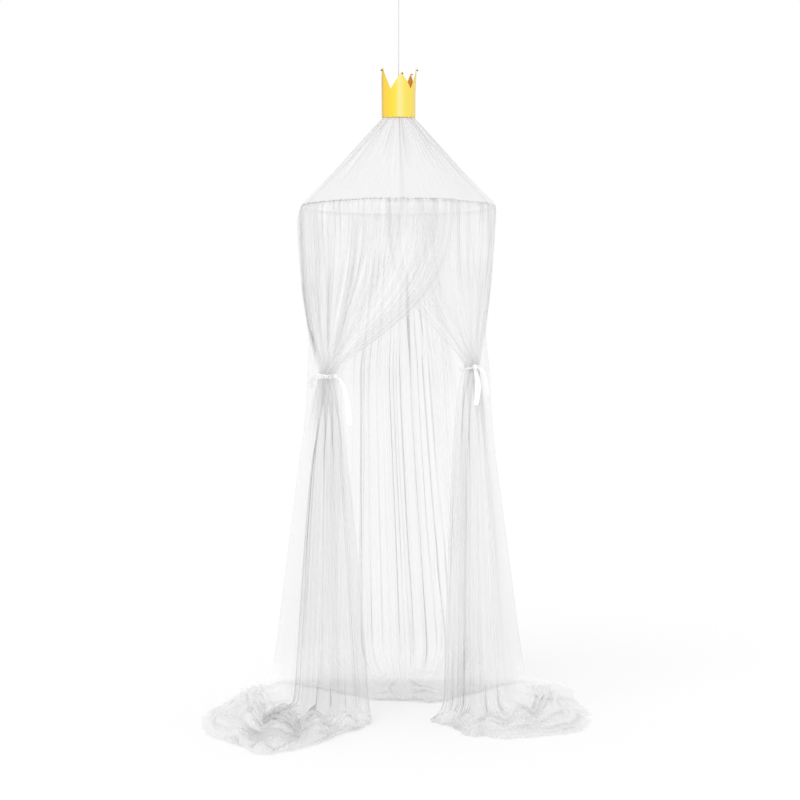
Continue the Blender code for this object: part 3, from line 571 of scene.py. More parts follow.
def leg_row(tie, tie_low, bottom, spreads, keep, step):
    """A row between the tie and the floor. The bundle's folds open out to the share it keeps."""
    fold = tie[2] * mix(1.0, keep, ease(step / 0.3))
    top = at(tie[0], tie[1] + fold, tie_low)
    place = top + (bottom - top) * (step ** spreads)[:, None]
    place[:, 2] = mix(top[:, 2], bottom[:, 2], step)
    return place


def fall_row(hoop, tie, step, swing, height):
    """A row between the hoop and the tie. swing is how late the net swings to its side."""
    angle = mix(hoop[0], tie[0], step ** swing)
    fold = mix(0.6 * hoop[2], tie[2], step ** 5)
    radius = mix(hoop[1], tie[1], step ** 1.6) + fold
    return at(angle, radius, height)


def stations():
    """(part, step) of each row; the step runs from 0 to 1 in each part."""
    found = [("hem", 0.0)]
    for name, part in PARTS.items():
        found += [(name, (index + 1) / part.count) for index in range(part.count)]
    return found


def net_rows(hoop, tie, tie_top, wave, swing, spreads, keep, floor_at, curtain=None):
    """A plain surface's rows from the hem to the rim. hoop and tie are (angle, radius, fold), and
    floor_at gives the row on the floor at a step."""
    corner = floor_at(0.0)
    rows = []
    for part, step in stations():
        if part == "hem":
            rows.append(hem_row(hoop[0], wave, mix(*HEM_TURNS, step), curtain))
        elif part == "fall":
            rows.append(fall_row(hoop, tie, step, swing, mix(HOOP_HEIGHT, tie_top, step)))
        elif part == "tie":
            rows.append(at(tie[0], tie[1] + tie[2], tie_top - TIE_BAND * step))
        elif part == "leg":
            rows.append(leg_row(tie, tie_top - TIE_BAND, corner, spreads, keep, step))
        else:
            rows.append(floor_at(step))
    return np.array(rows)


def curtain_surface(curtain, spread):
    """A tied-back curtain's plain surface: places by row and column."""
    loose, wave, column = soft_columns(curtain.folds, 0.5, 0.0)
    tied, tied_wave, _ = soft_columns(curtain.folds, 0.8, 1.0)
    angles = mix(curtain.edge_angle, curtain.seam_angle, loose)
    hang = OVERLAP_HANG * overlap(angles, curtain)
    hoop = (angles, HOOP_RADIUS + HEM_RADIUS + hang, curtain.top_fold * wave)
    tie = (*bundle_place(curtain, tied), bundle_wave(curtain, tied, tied_wave))
    swing = mix(curtain.edge_swing, curtain.seam_swing, loose)
    spreads = mix(curtain.edge_spread, curtain.seam_spread, loose)
    tie_top = curtain.tie_height + TIE_BAND / 2
    keep = spread_value(spread, "main", loose)
    floor_at = partial(
        floor_row, curtain.floor, loose, mix(0.5, wave, keep), column, curtain.leg_fold,
        side_of(curtain),
    )
    return net_rows(hoop, tie, tie_top, wave, swing, spreads, keep, floor_at, curtain)


def back_surface():
    """The back net's plain surface, from the right seam to the left one."""
    across, wave, column = soft_columns(BACK_FOLDS, 0.5, 0.0)
    blend = ease(np.minimum(across, 1.0 - across) / BACK_BLEND)
    right_half = across < 0.5
    left_seam = LEFT.seam_angle + 360.0
    angles = mix(RIGHT.seam_angle, left_seam, across)
    right_tie, left_tie = bundle_place(RIGHT, 1.0), bundle_place(LEFT, 1.0)
    tie_angle = mix(right_tie[0], left_tie[0] + 360.0, across)
    free = mix(*BACK_TIE_RADII, across) + BACK_TIE_BULGE * np.sin(math.pi * across)
    tie_radius = mix(np.where(right_half, right_tie[1], left_tie[1]), free, blend)
    edge_fold = np.where(right_half, bundle_wave(RIGHT, 1.0, 0.0), bundle_wave(LEFT, 1.0, 0.0))
    tie_fold = mix(edge_fold, BACK_TIE_FOLD * wave, blend)
    tie_top = mix(RIGHT.tie_height, LEFT.tie_height, across) + TIE_BAND / 2
    hoop = (angles, HOOP_RADIUS + HEM_RADIUS, BACK_TOP_FOLD * wave)
    tie = (tie_angle, tie_radius, tie_fold)
    seam_spread = np.where(right_half, RIGHT.seam_spread, LEFT.seam_spread)
    spreads = mix(seam_spread, BACK_SPREAD, blend)
    keep = spread_value(BACK_SPREAD_FINE, "main", across)
    floor_at = partial(
        floor_row, BACK_FLOOR, across, mix(0.5, wave, keep), column, BACK_LEG_FOLD, 1.0
    )
    return net_rows(hoop, tie, tie_top, wave, LEFT.seam_swing, spreads, keep, floor_at)


def softened(rows, rounds, keep=PARTS["hem"].count + 4):
    """The surface with its corners down its length rounded; the first keep rows stay."""
    for _ in range(rounds):
        middle = (rows[keep - 1:-2] + 2.0 * rows[keep:-1] + rows[keep + 1:]) / 4.0
        rows[keep:-1] = middle
    return rows


def outward_of(rows, side):
    """The unit normal of the surface at each place, on its outer or upper side."""
    down = np.gradient(rows, axis=0)
    along = np.gradient(rows, axis=1)
    return unit(np.cross(down, along) * side)


def sample(grid, row, column):
    """The grid's values between its rows and columns."""
    row = np.clip(row, 0.0, grid.shape[0] - 1.001)
    column = np.clip(column, 0.0, grid.shape[1] - 1.001)
    y, x = row.astype(int), column.astype(int)
    low, right = (row - y)[..., None], (column - x)[..., None]
    upper = mix(grid[y, x], grid[y, x + 1], right)
    lower = mix(grid[y + 1, x], grid[y + 1, x + 1], right)
    return mix(upper, lower, low)


def spread_columns(spread, columns):
    """(across, folds so far) of the fine columns, closer where folds are closer."""
    fine = np.linspace(0.0, 1.0, 2001)
    density = spread_value(spread, "density", fine)
    so_far = np.concatenate([[0.0], np.cumsum((density[1:] + density[:-1]) / 2.0)])
    so_far /= so_far[-1]
    share = np.linspace(0.0, 1.0, columns)
    return np.interp(share, so_far, fine), share


def spread_value(spread, name, across):
    """One column of a spread table at these places across."""
    return np.interp(across, [row.across for row in spread], [getattr(row, name) for row in spread])


def creased(slide, stand, places, marks, down, creases, lean, seed):
    """Adds the single creases, and the painted shade in them (painted light where a crease's shade is
    below 0).
    """
    painted_shading = np.zeros_like(stand)
    for number, crease in enumerate(creases):
        middle = crease.across + WANDER * crease.width * uneven(down, 7, seed + 90 + number)
        wide = 1.0
        if crease.double > 0.0 and crease.start > TUCK_STATION:
            opened = (marks - crease.start) / (crease.end - crease.start)
            wide = mix(*TUCK_WIDTHS, np.clip(opened, 0.0, 1.0))
        off = (places - middle) / (crease.width * wide)
        bell = np.exp(-off * off)
        bell = bell * ease((marks - crease.start) / CREASE_IN)
        bell = bell * ease((crease.end - marks) / CREASE_OUT)
        slide = slide - crease.double * crease.width * off * bell
        stand = stand + crease.depth * (off + 0.6 * lean) * bell
        # Painted shade where the crease's shade is above 0, painted light where it is below.
        shade = crease.shade * bell
        painted_shading = np.maximum(painted_shading, shade) if crease.shade > 0.0 else painted_shading + shade
    return slide, stand, painted_shading


def folded_net(surface, side, columns, fold_count, spread, creases, seed, lean, lay=0.8, tied=1.0):
    """The plain surface with fine folds that double over: its places, and the painted shade (above 0)
    and painted light (below 0) on the cloth there. lean says to which side the folds stand (1
    outward, -1 inward, 0 both), lay how much of them is left on the floor, where the cloth crumples
    the other way too, and tied how wide the part is that the ties hold (1 is all of it)."""
    row_count = len(surface)
    marks = np.array([mix(*PARTS[part][:2], step) for part, step in stations()])[:, None]
    held, loose = np.array(CURTAIN_PROFILE, float), np.array(FREE_PROFILE, float)
    places, share = (values[None, :] for values in spread_columns(spread, columns))
    free = ease(np.minimum(places, 1.0 - places) / tied) if tied < 1.0 else 0.0 * places
    double, depth, ripple = (
        mix(np.interp(marks, held[:, 0], held[:, i]), np.interp(marks, loose[:, 0], loose[:, i]), free)
        for i in (1, 2, 3)
    )
    down = np.linspace(0.0, 1.0, row_count)[:, None]
    across, down = np.broadcast_arrays(share, down)
    drift = 0.7 * uneven_field(across, down, 9, 3, seed) + 1.2 * uneven(across, 17, seed + 1)
    phase = math.tau * (across * fold_count + drift)
    rate = np.gradient(phase, axis=1) * (columns - 1)
    rate = np.maximum(rate, math.pi * fold_count)
    strength = uneven_field(across, down, 2 * fold_count, 5, seed + 2)
    strength = STRENGTH + STRENGTH_STRAY * strength
    below = ease((marks - PARTS["leg"].start) / 0.12)
    strength = strength * mix(
        spread_value(spread, "above", places), spread_value(spread, "below", places), below
    )
    on_floor = mix(1.0, lay, ease((marks - PARTS["floor"].start) / 0.3))
    strength = strength * on_floor
    step = np.gradient(places[0])[None, :] * (columns - 1)
    rim = ease(np.minimum(across, 1.0 - across) / CALM_EDGE)
    slide = double * strength * rim * np.sin(2.0 * phase) * step / rate
    wave = np.cos(phase) + SECOND_WAVE * np.sin(SECOND_RATE * phase + 4.0 * drift)
    stand = depth * strength * (wave + LEAN * lean) * rim
    fine = math.tau * (across * fold_count * RIPPLE_RATE + 1.5 * uneven(across, 30, seed + 3))
    calm = mix(1.0, np.minimum(2.0 * spread_value(spread, "below", places), 1.0), below)
    calm = calm * on_floor
    stand = stand + calm * ripple * np.sin(fine) * (1.0 + uneven_field(across, down, 40, 9, seed + 4))
    slide, stand, painted_shading = creased(slide, stand, places, marks, down, creases, lean, seed)
    # Painted light on the net round the ties, which varies with the fine folds.
    at_tie = (1.0 - free) * np.exp(-((marks - TIE_STATION) / TIE_REACH) ** 2)
    painted_shading = painted_shading - at_tie * (TIE_PAINTED_LIGHT - TIE_PAINTED_LIGHT_WAVE * np.cos(phase))
    places = places + slide
    row_slide, lift, valley_shade = crumpled(across, marks, spread_value(spread, "crumple", places), seed)
    row = np.arange(row_count, dtype=float)[:, None] + row_slide
    column = places * (surface.shape[1] - 1)
    normal = outward_of(surface, side)
    place = sample(surface, row, column)
    place = place + sample(normal, row, column) * (stand + lift)[..., None]
    place[..., 2] = np.maximum(place[..., 2], up(FLOOR_CLEAR))
    return place, painted_shading + valley_shade


def crumpled(across, marks, share, seed):
    """Folds that lie the other way on the floor: how many rows each place slides down the cloth,
    how far it lifts, and the painted shade in its valleys."""
    out = np.clip(marks - PARTS["floor"].start, 0.0, 1.0) + 0.0 * across
    here = share * ease((out - 0.08) / 0.2) * ease((1.0 - out) / 0.08)
    drift = 0.8 * uneven_field(across, out, 8, 4, seed + 60)
    drift = drift + 0.25 * uneven_field(across, out, 23, 9, seed + 61)
    theta = math.tau * (CRUMPLES * out ** 0.8 + drift)
    slide = CRUMPLE_SLIDE * here * np.sin(2.0 * theta) / (math.tau * CRUMPLES)
    lift = CRUMPLE_LIFT * here * (1.0 + np.cos(theta) + 0.3 * np.cos(2.7 * theta + 5.0 * drift))
    valley_shade = np.clip(-np.cos(theta + 0.6) - VALLEY_START, 0.0, 1.0) / (1.0 - VALLEY_START)
    valley_shade = VALLEY_PAINTED_SHADE * here * valley_shade
    valley_shade = valley_shade * (0.5 + 0.5 * uneven_field(across, out, 12, 5, seed + 62))
    return slide * PARTS["floor"].count, lift, valley_shade


def cloth_mesh(name, rows, widths, painted_shading=None):
    """A thin sheet over rows of places. widths is the cut's size in metres, for its UV map, and the
    last argument the painted shade (above 0) and painted light (below 0) at each place."""
    row_count, columns = rows.shape[:2]
    maker = bmesh.new()
    bmesh.ops.create_grid(maker, x_segments=columns - 1, y_segments=row_count - 1, size=0.5)
    mesh = bpy.data.meshes.new(name)
    maker.to_mesh(mesh)
    maker.free()
    flat = np.empty(len(mesh.vertices) * 3)
    mesh.vertices.foreach_get("co", flat)
    flat = flat.reshape(-1, 3)[:, :2] + 0.5
    column = np.rint(flat[:, 0] * (columns - 1)).astype(int)
    row = np.rint(flat[:, 1] * (row_count - 1)).astype(int)
    mesh.vertices.foreach_set("co", rows[row, column].ravel())
    corners = np.empty(len(mesh.loops), int)
    mesh.loops.foreach_get("vertex_index", corners)
    layer = mesh.uv_layers.new(name="UVMap")
    layer.data.foreach_set("uv", (flat * np.array(widths))[corners].ravel())
    if painted_shading is not None:
        shade = mesh.attributes.new("painted_shading", "FLOAT", "POINT")
        shade.data.foreach_set("value", painted_shading[row, column].astype(np.float32))
    mesh.update()
    mesh.shade_smooth()
    return mesh


def make_net(name, node, rows, painted_shading, finish, widths):
    mesh = cloth_mesh(name, rows, widths, painted_shading)
    mesh.materials.append(finish.material)
    made = placed(name, mesh)
    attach(made, "root")
    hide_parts(node)


# ---- roof ----
RoofRow = namedtuple("RoofRow", "step radius height tilt pleat")
ROOF_ROWS = (
    RoofRow(0.00, 0.0230, CROWN_HEIGHT + 0.028, 1.0, 0.0022),
    RoofRow(0.08, 0.0490, CROWN_HEIGHT + 0.012, 1.0, 0.0030),
    RoofRow(0.13, 0.0497, CROWN_HEIGHT - 0.001, 1.0, 0.0030),
    RoofRow(0.26, 0.0830, CROWN_HEIGHT - 0.037, 0.6, 0.0060),
    RoofRow(0.47, 0.1400, CROWN_HEIGHT - 0.100, 0.25, 0.0080),
    RoofRow(0.74, 0.2200, CROWN_HEIGHT - 0.189, 0.05, 0.0070),
    RoofRow(1.00, HOOP_RADIUS + 0.0045, HOOP_HEIGHT + 0.0106, 0.0, 0.0010),
)
ROOF_FOLDS = 64
ROOF_GATHER = (0.90, 0.35)  # how far the folds double over, from the crown to the hoop
ROOF_PLEAT = (0.6, 0.2)  # their depth against the solid's, the same way
ROOF_PAINTED_STREAKS = (-0.9, 0.3) * 17  # painted light (below 0) and painted shade (above 0) of the streaks that run down from the crown
ROOF_PAINTED_SHADES = ((0.86, 0.05), (0.13, 0.04))  # (place, width) of two broad bands of painted shade


def tilted(places, share):
    """Places turned with the crown's tilt about the middle of its lower edge."""
    middle = np.array([0.0, 0.0, up(CROWN_HEIGHT)])
    moved = places - middle
    turn = CROWN_TILT * share
    cos, sin = math.cos(turn), math.sin(turn)
    y = moved[:, 1] * cos - moved[:, 2] * sin
    z = moved[:, 1] * sin + moved[:, 2] * cos
    return xyz(moved[:, 0], y, z) + middle


def roof_rows(columns, seed):
    """The cone's places from the crown down, and the painted light and painted shade on it."""
    rows = []
    around = np.linspace(0.0, 1.0, columns)
    for step in np.linspace(0.0, 1.0, ROOF_ROWS_FINE):
        here = read(ROOF_ROWS, np.array([step]))
        drift = 1.1 * uneven(around, 20, seed) * math.sin(math.pi * step) ** 0.5
        closing = ease(np.minimum(around, 1.0 - around) * 40.0)
        phase = math.tau * (around * ROOF_FOLDS + drift * closing)
        fade = 1.0 + 0.5 * uneven(around, 23, seed + 2) * closing
        gather = mix(*ROOF_GATHER, ease((step - 0.15) / 0.6))
        slide = gather * np.sin(2.0 * phase) / (math.tau * ROOF_FOLDS)
        pleat = float(here.pleat[0]) * mix(*ROOF_PLEAT, step) * fade
        radius = float(here.radius[0]) - pleat * (0.5 - 0.5 * np.cos(phase))
        angle = 360.0 * (around + slide * closing)
        row = at(angle, radius, float(here.height[0]))
        rows.append(tilted(row, float(here.tilt[0])))
    steps = np.linspace(0.0, 1.0, ROOF_ROWS_FINE)[:, None]
    painted_shading = np.zeros((ROOF_ROWS_FINE, columns))
    random = np.random.default_rng(seed + 5)
    # Painted light and painted shade streaks down from the crown, then two broad bands of painted shade
    # at the cone's sides.
    for shade in ROOF_PAINTED_STREAKS:
        middle, width = random.uniform(0.02, 0.98), random.uniform(0.002, 0.006)
        end = random.uniform(0.35, 0.95)
        bell = np.exp(-((around - middle - 0.004 * np.sin(4.0 * steps)) / width) ** 2)
        painted_shading += shade * bell * ease((end - steps) / 0.35)
    for middle, width in ROOF_PAINTED_SHADES:
        painted_shading += 0.12 * np.exp(-((around - middle) / width) ** 2) * (1.0 - 0.5 * steps)
    return np.array(rows), painted_shading


# ---- ribbons ----
RIBBON_WIDTH = 0.016
KNOT_OUT = 0.0062
BAND_OPENING = 14.0
# A free end or loop from its knot: steps to the side (+X), toward the front and down, the turn of
# its face from the front in degrees, and its width against the whole ribbon's.
End = namedtuple("End", "along side front down turn width")
LEFT_TAIL = table_of(
    End,
    (0, 0, 0, 0, 0, 0.35), (0.13, 0.016, 0.008, 0.012, 10, 0.75),
    (0.28, 0.026, 0.014, 0.032, 20, 0.95), (0.48, 0.033, 0.022, 0.06, 15, 1),
    (0.74, 0.039, 0.034, 0.1, 5, 1), (1, 0.044, 0.047, 0.145, 0, 1),
)
LEFT_LOOP = table_of(
    End,
    (0, 0, 0, 0, 0, 0.35), (0.27, -0.026, 0.012, -0.002, 0, 0.7),
    (0.55, -0.054, 0.01, 0.002, 10, 0.95), (0.82, -0.074, 0.004, 0.018, 40, 1),
    (1, -0.068, -0.004, 0.034, 30, 1),
)
RIGHT_TAIL = table_of(
    End,
    (0, 0, 0, 0, 0, 0.35), (0.16, 0.003, 0.012, 0.018, 10, 0.8),
    (0.4, 0.008, 0.024, 0.045, 20, 1.15), (0.7, 0.006, 0.04, 0.078, 10, 1.1),
    (1, 0.001, 0.056, 0.112, 0, 0.8),
)
RIGHT_SECOND = table_of(
    End,
    (0, 0, 0, 0, 0, 0.35), (0.2, 0.018, 0.006, 0.004, 10, 0.75),
    (0.43, 0.03, 0.012, 0.022, 40, 0.9), (0.71, 0.033, 0.022, 0.05, 30, 0.85),
    (1, 0.036, 0.034, 0.08, 20, 0.7),
)
RIGHT_SHORT = table_of(
    End,
    (0, 0, 0, 0, 0, 0.35), (0.4, -0.018, 0.012, 0.002, 0, 0.7),
    (0.76, -0.036, 0.01, 0.003, 0, 0.9), (1, -0.048, 0.006, 0.006, 0, 0.9),
)
# How far the middle of the ribbon stays from the bundle's outline, where its knot sits on the band,
# the knot's half width, depth and height, the band's height and slope, its ends, and the ribbon's
# whole length in metres.
Tie = namedtuple("Tie", "curtain clear knot_turn knot_size band_height slope ends length")
LEFT_TIE = Tie(
    LEFT, 0.0020, 188.0, (0.008, 0.0064, 0.008), 0.016, 0.0, (LEFT_TAIL, LEFT_LOOP), 0.43
)
RIGHT_TIE = Tie(
    RIGHT, 0.0040, 117.0, (0.007, 0.0062, 0.009), 0.007, 0.22,
    (RIGHT_TAIL, RIGHT_SECOND, RIGHT_SHORT), 0.42,
)


def band_point(curtain, turn, clear):
    """Places on the oval that a ribbon follows round the bundle. turn is 0 toward the seam."""
    middle = at(curtain.tie_angle, curtain.tie_radius, curtain.tie_height)
    outward = at(curtain.tie_angle, 1.0, HANG_HEIGHT)
    tangent = at(curtain.tie_angle + 90.0 * side_of(curtain), 1.0, HANG_HEIGHT)
    skew = math.radians(curtain.bundle_turn)
    toward = tangent * math.cos(skew) + outward * math.sin(skew)
    wide = curtain.bundle_width / 2 / BUNDLE_EVEN + clear
    deep = curtain.bundle_depth / 2 + clear
    angle = np.radians(turn)[..., None]
    return middle + toward * wide * np.cos(angle) + outward * deep * np.sin(angle)


def band_rows(tie, seed):
    """The ribbon round the bundle, gathered into a few pleats."""
    curtain = tie.curtain
    deep = curtain.bundle_depth / 2 + tie.clear
    seam = math.degrees(math.asin(bundle_wave(curtain, 1.0, 0.0) / deep))
    along = np.linspace(0.0, 1.0, 90)
    turn = seam + mix(BAND_OPENING, 360.0 - BAND_OPENING, along)
    middle_x = at(curtain.tie_angle, curtain.tie_radius, 0.0)[0]
    rows = []
    for share in np.linspace(-1.0, 1.0, 13):
        pleat = math.cos(math.pi * (2.2 * share + 0.4))
        pleat = pleat * (0.6 + 0.4 * uneven(along, 9, seed)) * (1.0 - share ** 6)
        row = band_point(curtain, turn, tie.clear)
        outer = band_point(curtain, turn, tie.clear + 0.0009)
        row = row + (outer - row) * (pleat + 0.4)[:, None]
        narrow = 1.0 - 0.22 * np.exp(-((turn - 130.0) / 45.0) ** 2) + 0.08 * uneven(along, 12, seed + 1)
        sag = -0.0016 * np.exp(-((turn - 130.0) / 40.0) ** 2) * tie.band_height / RIBBON_WIDTH
        row[:, 2] += sag + tie.slope * (row[:, 0] - middle_x)
        row[:, 2] += share * narrow * tie.band_height / 2
        rows.append(row)
    return np.array(rows)


def end_rows(start, table, seed):
    """A free end or loop: it fans out of the knot in pleats and hangs slightly curled."""
    along = np.linspace(0.0, 1.0, 60)
    spot = read(table, along)
    middle = start + xyz(spot.side, -spot.front, -spot.down)
    turn = np.radians(spot.turn + 14.0 * uneven(along, 4, seed) * along)
    across = xyz(np.cos(turn), np.sin(turn), np.zeros_like(turn))
    run = unit(np.gradient(middle, axis=0))
    across = unit(across - run * np.sum(run * across, axis=-1, keepdims=True))
    face = np.cross(run, across)
    pleats = 0.0011 * np.exp(-along / 0.25)
    curl = 0.0016 * (0.4 + uneven(along, 5, seed + 1))
    rows = []
    for share in np.linspace(-1.0, 1.0, 13):
        lift = pleats * math.cos(math.pi * 2.6 * share + 0.6) + curl * (1.0 - share * share)
        half = share * spot.width * RIBBON_WIDTH / 2
        rows.append(middle + across * half[:, None] + face * lift[:, None])
    return np.array(rows)


def knot_rows(middle, size):
    """A small knot with creases that run over it from top to bottom."""
    round_it = np.linspace(0.0, math.tau, 29)
    rows = []
    for step in np.linspace(0.04, 0.96, 21):
        lean = math.pi * step
        width = math.sin(lean) ** 0.7 * (1.0 + 0.07 * math.cos(6.0 * math.pi * step))
        x = -size[0] * math.cos(lean) * np.ones_like(round_it)
        y = size[1] * width * np.cos(round_it)
        z = size[2] * width * np.sin(round_it) * (1.0 + 0.06 * np.cos(3.0 * round_it + 1.0))
        rows.append(middle + xyz(x, y, z))
    return np.array(rows)


def make_tie(name, node, tie, finish, seed):
    knot = band_point(tie.curtain, np.float64(tie.knot_turn), tie.clear + KNOT_OUT)
    parts = [band_rows(tie, seed), knot_rows(knot, tie.knot_size)]
    parts += [end_rows(knot, end, seed + 10 * n) for n, end in enumerate(tie.ends, 1)]
    maker = bmesh.new()
    for rows in parts:
        part = cloth_mesh(name, rows, (0.2, RIBBON_WIDTH))
        maker.from_mesh(part)
        bpy.data.meshes.remove(part)
    mesh = mesh_from(maker, name, finish)
    mesh.shade_smooth()
    made = placed(name, mesh)
    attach(made, "root")
    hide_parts(node)


# ---- the scene ----
CAMERA_PLACE = (0.0043, -4.95, 1.15)  # across, to the front and above the floor
CAMERA_LENS, CAMERA_SENSOR = 72.0, 36.0
CAMERA_SLOPE = 69.0 / 1600.0  # how far it looks down
FLOOR_HALF, FLOOR_TONE = 30.0, 0.885
SUN_STRENGTH, SUN_WIDTH = 0.62, math.radians(50.0)
SUN_COURSE = (0.55, 0.75, -1.0)
SIGHT_LAYERS = 64  # layers of net that a line of sight can pass
NET_COVER, NET_TONE = 0.33, 0.86
# The cone's net is the same cloth as the rest, painted darker: painted shade that offsets the stronger
# light on the cone from above.
CONE_COVER, CONE_SHADED_TONE = 0.35, 0.78
NET_COLUMNS, CONE_COLUMNS = 500, 900
CURTAIN_FINE_FOLDS, BACK_FINE_FOLDS = 36, 44
CURTAIN_SOFTENING, BACK_SOFTENING = 6, 18
STITCH_COUNT = 170


def make_camera():
    camera = placed("camera", bpy.data.cameras.new("camera"))
    camera.data.lens = CAMERA_LENS
    camera.data.sensor_width = CAMERA_SENSOR
    camera.location = (*CAMERA_PLACE[:2], up(CAMERA_PLACE[2]))
    camera.rotation_euler = (math.pi / 2.0 - math.atan(CAMERA_SLOPE), 0.0, 0.0)
    bpy.context.scene.camera = camera


def make_stage():
    scene = bpy.context.scene
    scene.view_settings.view_transform = "Standard"
    scene.cycles.transparent_max_bounces = SIGHT_LAYERS
    scene.world = bpy.data.worlds.new("studio")
    scene.world.use_nodes = True
    sky = scene.world.node_tree.nodes["Background"].inputs
    sky["Color"].default_value = (1.0, 1.0, 1.0, 1.0)
    sky["Strength"].default_value = 1.0
    paint = Finish("floor_paint", (FLOOR_TONE,) * 3, 0.9)
    paint.set("Specular IOR Level", 0.0)
    maker = bmesh.new()
    bmesh.ops.create_grid(maker, x_segments=1, y_segments=1, size=FLOOR_HALF)
    bmesh.ops.translate(maker, vec=(0.0, 0.0, up(-0.0005)), verts=maker.verts)
    placed("floor", mesh_from(maker, "floor", paint))
    light = bpy.data.lights.new("soft_sun", "SUN")
    light.energy = SUN_STRENGTH
    light.angle = SUN_WIDTH
    lamp = placed("soft_sun", light)
    lamp.rotation_euler = Vector(SUN_COURSE).to_track_quat("-Z", "Y").to_euler()


def make_cord():
    points = np.linspace(KNOT_TOP, LOOP_KNOT_LOW, 31)
    curve = bpy.data.curves.new("cord", "CURVE")
    curve.dimensions = "3D"
    curve.bevel_depth = CORD_RADIUS
    curve.bevel_resolution = 3
    curve.use_fill_caps = True
    spline = curve.splines.new("POLY")
    spline.points.add(len(points) - 1)
    for point, height in zip(spline.points, points):
        point.co = (0.0, 0.0, up(height), 1.0)
    cord = placed("cord", curve)
    twine = Finish("cord_twine", (0.80, 0.80, 0.79), 0.75)
    # Painted shade: the cord is darker in the grooves between its twisted strands.
    strands_and_groove_shade = twine.node("ShaderNodeTexWave", Scale=1.0, bands_direction="DIAGONAL")
    twine.link(twine.places("Object", (900.0, 900.0, 420.0)), strands_and_groove_shade.inputs["Vector"])
    strands_and_groove_shade = strands_and_groove_shade.outputs["Fac"]
    twine.paint(twine.ramp(strands_and_groove_shade, (0.0, (0.55, 0.55, 0.54)), (0.7, (0.84, 0.84, 0.83))))
    twine.bump(strands_and_groove_shade, 0.6, 0.0003)
    curve.materials.append(twine.material)
    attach(cord, "root")
    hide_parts("hanging_cord")
    dress(twine, "cord_loop", "loop_knot", "crown_knot", *(f"hoop_string_{n}" for n in range(1, 5)))


def make_nets():
    net = net_finish("net_cloth", NET_COVER, NET_TONE)
    left_creases = LEFT_CREASES + tuple(
        Crease(across, 0.0060 + 0.0020 * (number % 3), -0.4, 0.14, -1.0, -2.0)
        for number, across in enumerate(PAINTED_LIGHT_PATCHES)
    )
    for name, node, curtain, spread, creases, lean, seed, width in (
        ("left_front_net", "left_curtain", LEFT, LEFT_SPREAD, left_creases, 1.0, 11, 0.93),
        ("right_front_net", "right_curtain", RIGHT, RIGHT_SPREAD, RIGHT_CREASES, -1.0, 31, 0.7),
    ):
        surface = softened(curtain_surface(curtain, spread), CURTAIN_SOFTENING)
        rows, painted_shading = folded_net(
            surface, side_of(curtain), NET_COLUMNS, CURTAIN_FINE_FOLDS, spread, creases, seed, lean
        )
        make_net(name, node, rows, painted_shading, net, (2.6, 2.0))
    rows, painted_shading = folded_net(
        softened(back_surface(), BACK_SOFTENING), 1.0, NET_COLUMNS, BACK_FINE_FOLDS,
        BACK_SPREAD_FINE, BACK_CREASES, 51, 0.0, lay=0.06, tied=0.3,
    )
    make_net("back_wall_net", "back_net", rows, painted_shading, net, (3.2, 2.0))
    rows, painted_shading = roof_rows(CONE_COLUMNS, 71)
    cone = net_finish("cone_cloth_painted_shade", CONE_COVER, CONE_SHADED_TONE)
    make_net("cone_net", "roof_net", rows, painted_shading, cone, (3.6, 0.4))


def make_ribbons():
    satin = grained(
        "ribbon_satin", (0.94, 0.94, 0.94), 0.35, "UV", (300.0, 6000.0, 1.0), 2.0,
        (0.90, 0.90, 0.90), (0.97, 0.97, 0.97), bump=0.3,
    )
    satin.set("Sheen Weight", 0.2)
    make_tie("left_ribbon", "left_tie", LEFT_TIE, satin, 211)
    make_tie("right_ribbon", "right_tie", RIGHT_TIE, satin, 241)


def stitch(maker, places, radius):
    """A short thread along these places, thin at both ends."""
    rings = []
    for place, share in zip(places, (0.25, 1.0, 1.0, 0.25)):
        out = unit(np.array([place[0], place[1], 0.0]))
        ring = []
        for turn in np.linspace(0.0, math.tau, 6, endpoint=False):
            lift = share * radius * (out * math.cos(turn) + np.array([0.0, 0.0, math.sin(turn)]))
            ring.append(maker.verts.new(place + lift))
        rings.append(ring)
    for low, high in zip(rings, rings[1:]):
        for corner in range(6):
            after = (corner + 1) % 6
            maker.faces.new((low[corner], low[after], high[after], high[corner]))
    maker.faces.new(rings[0])
    maker.faces.new(reversed(rings[-1]))


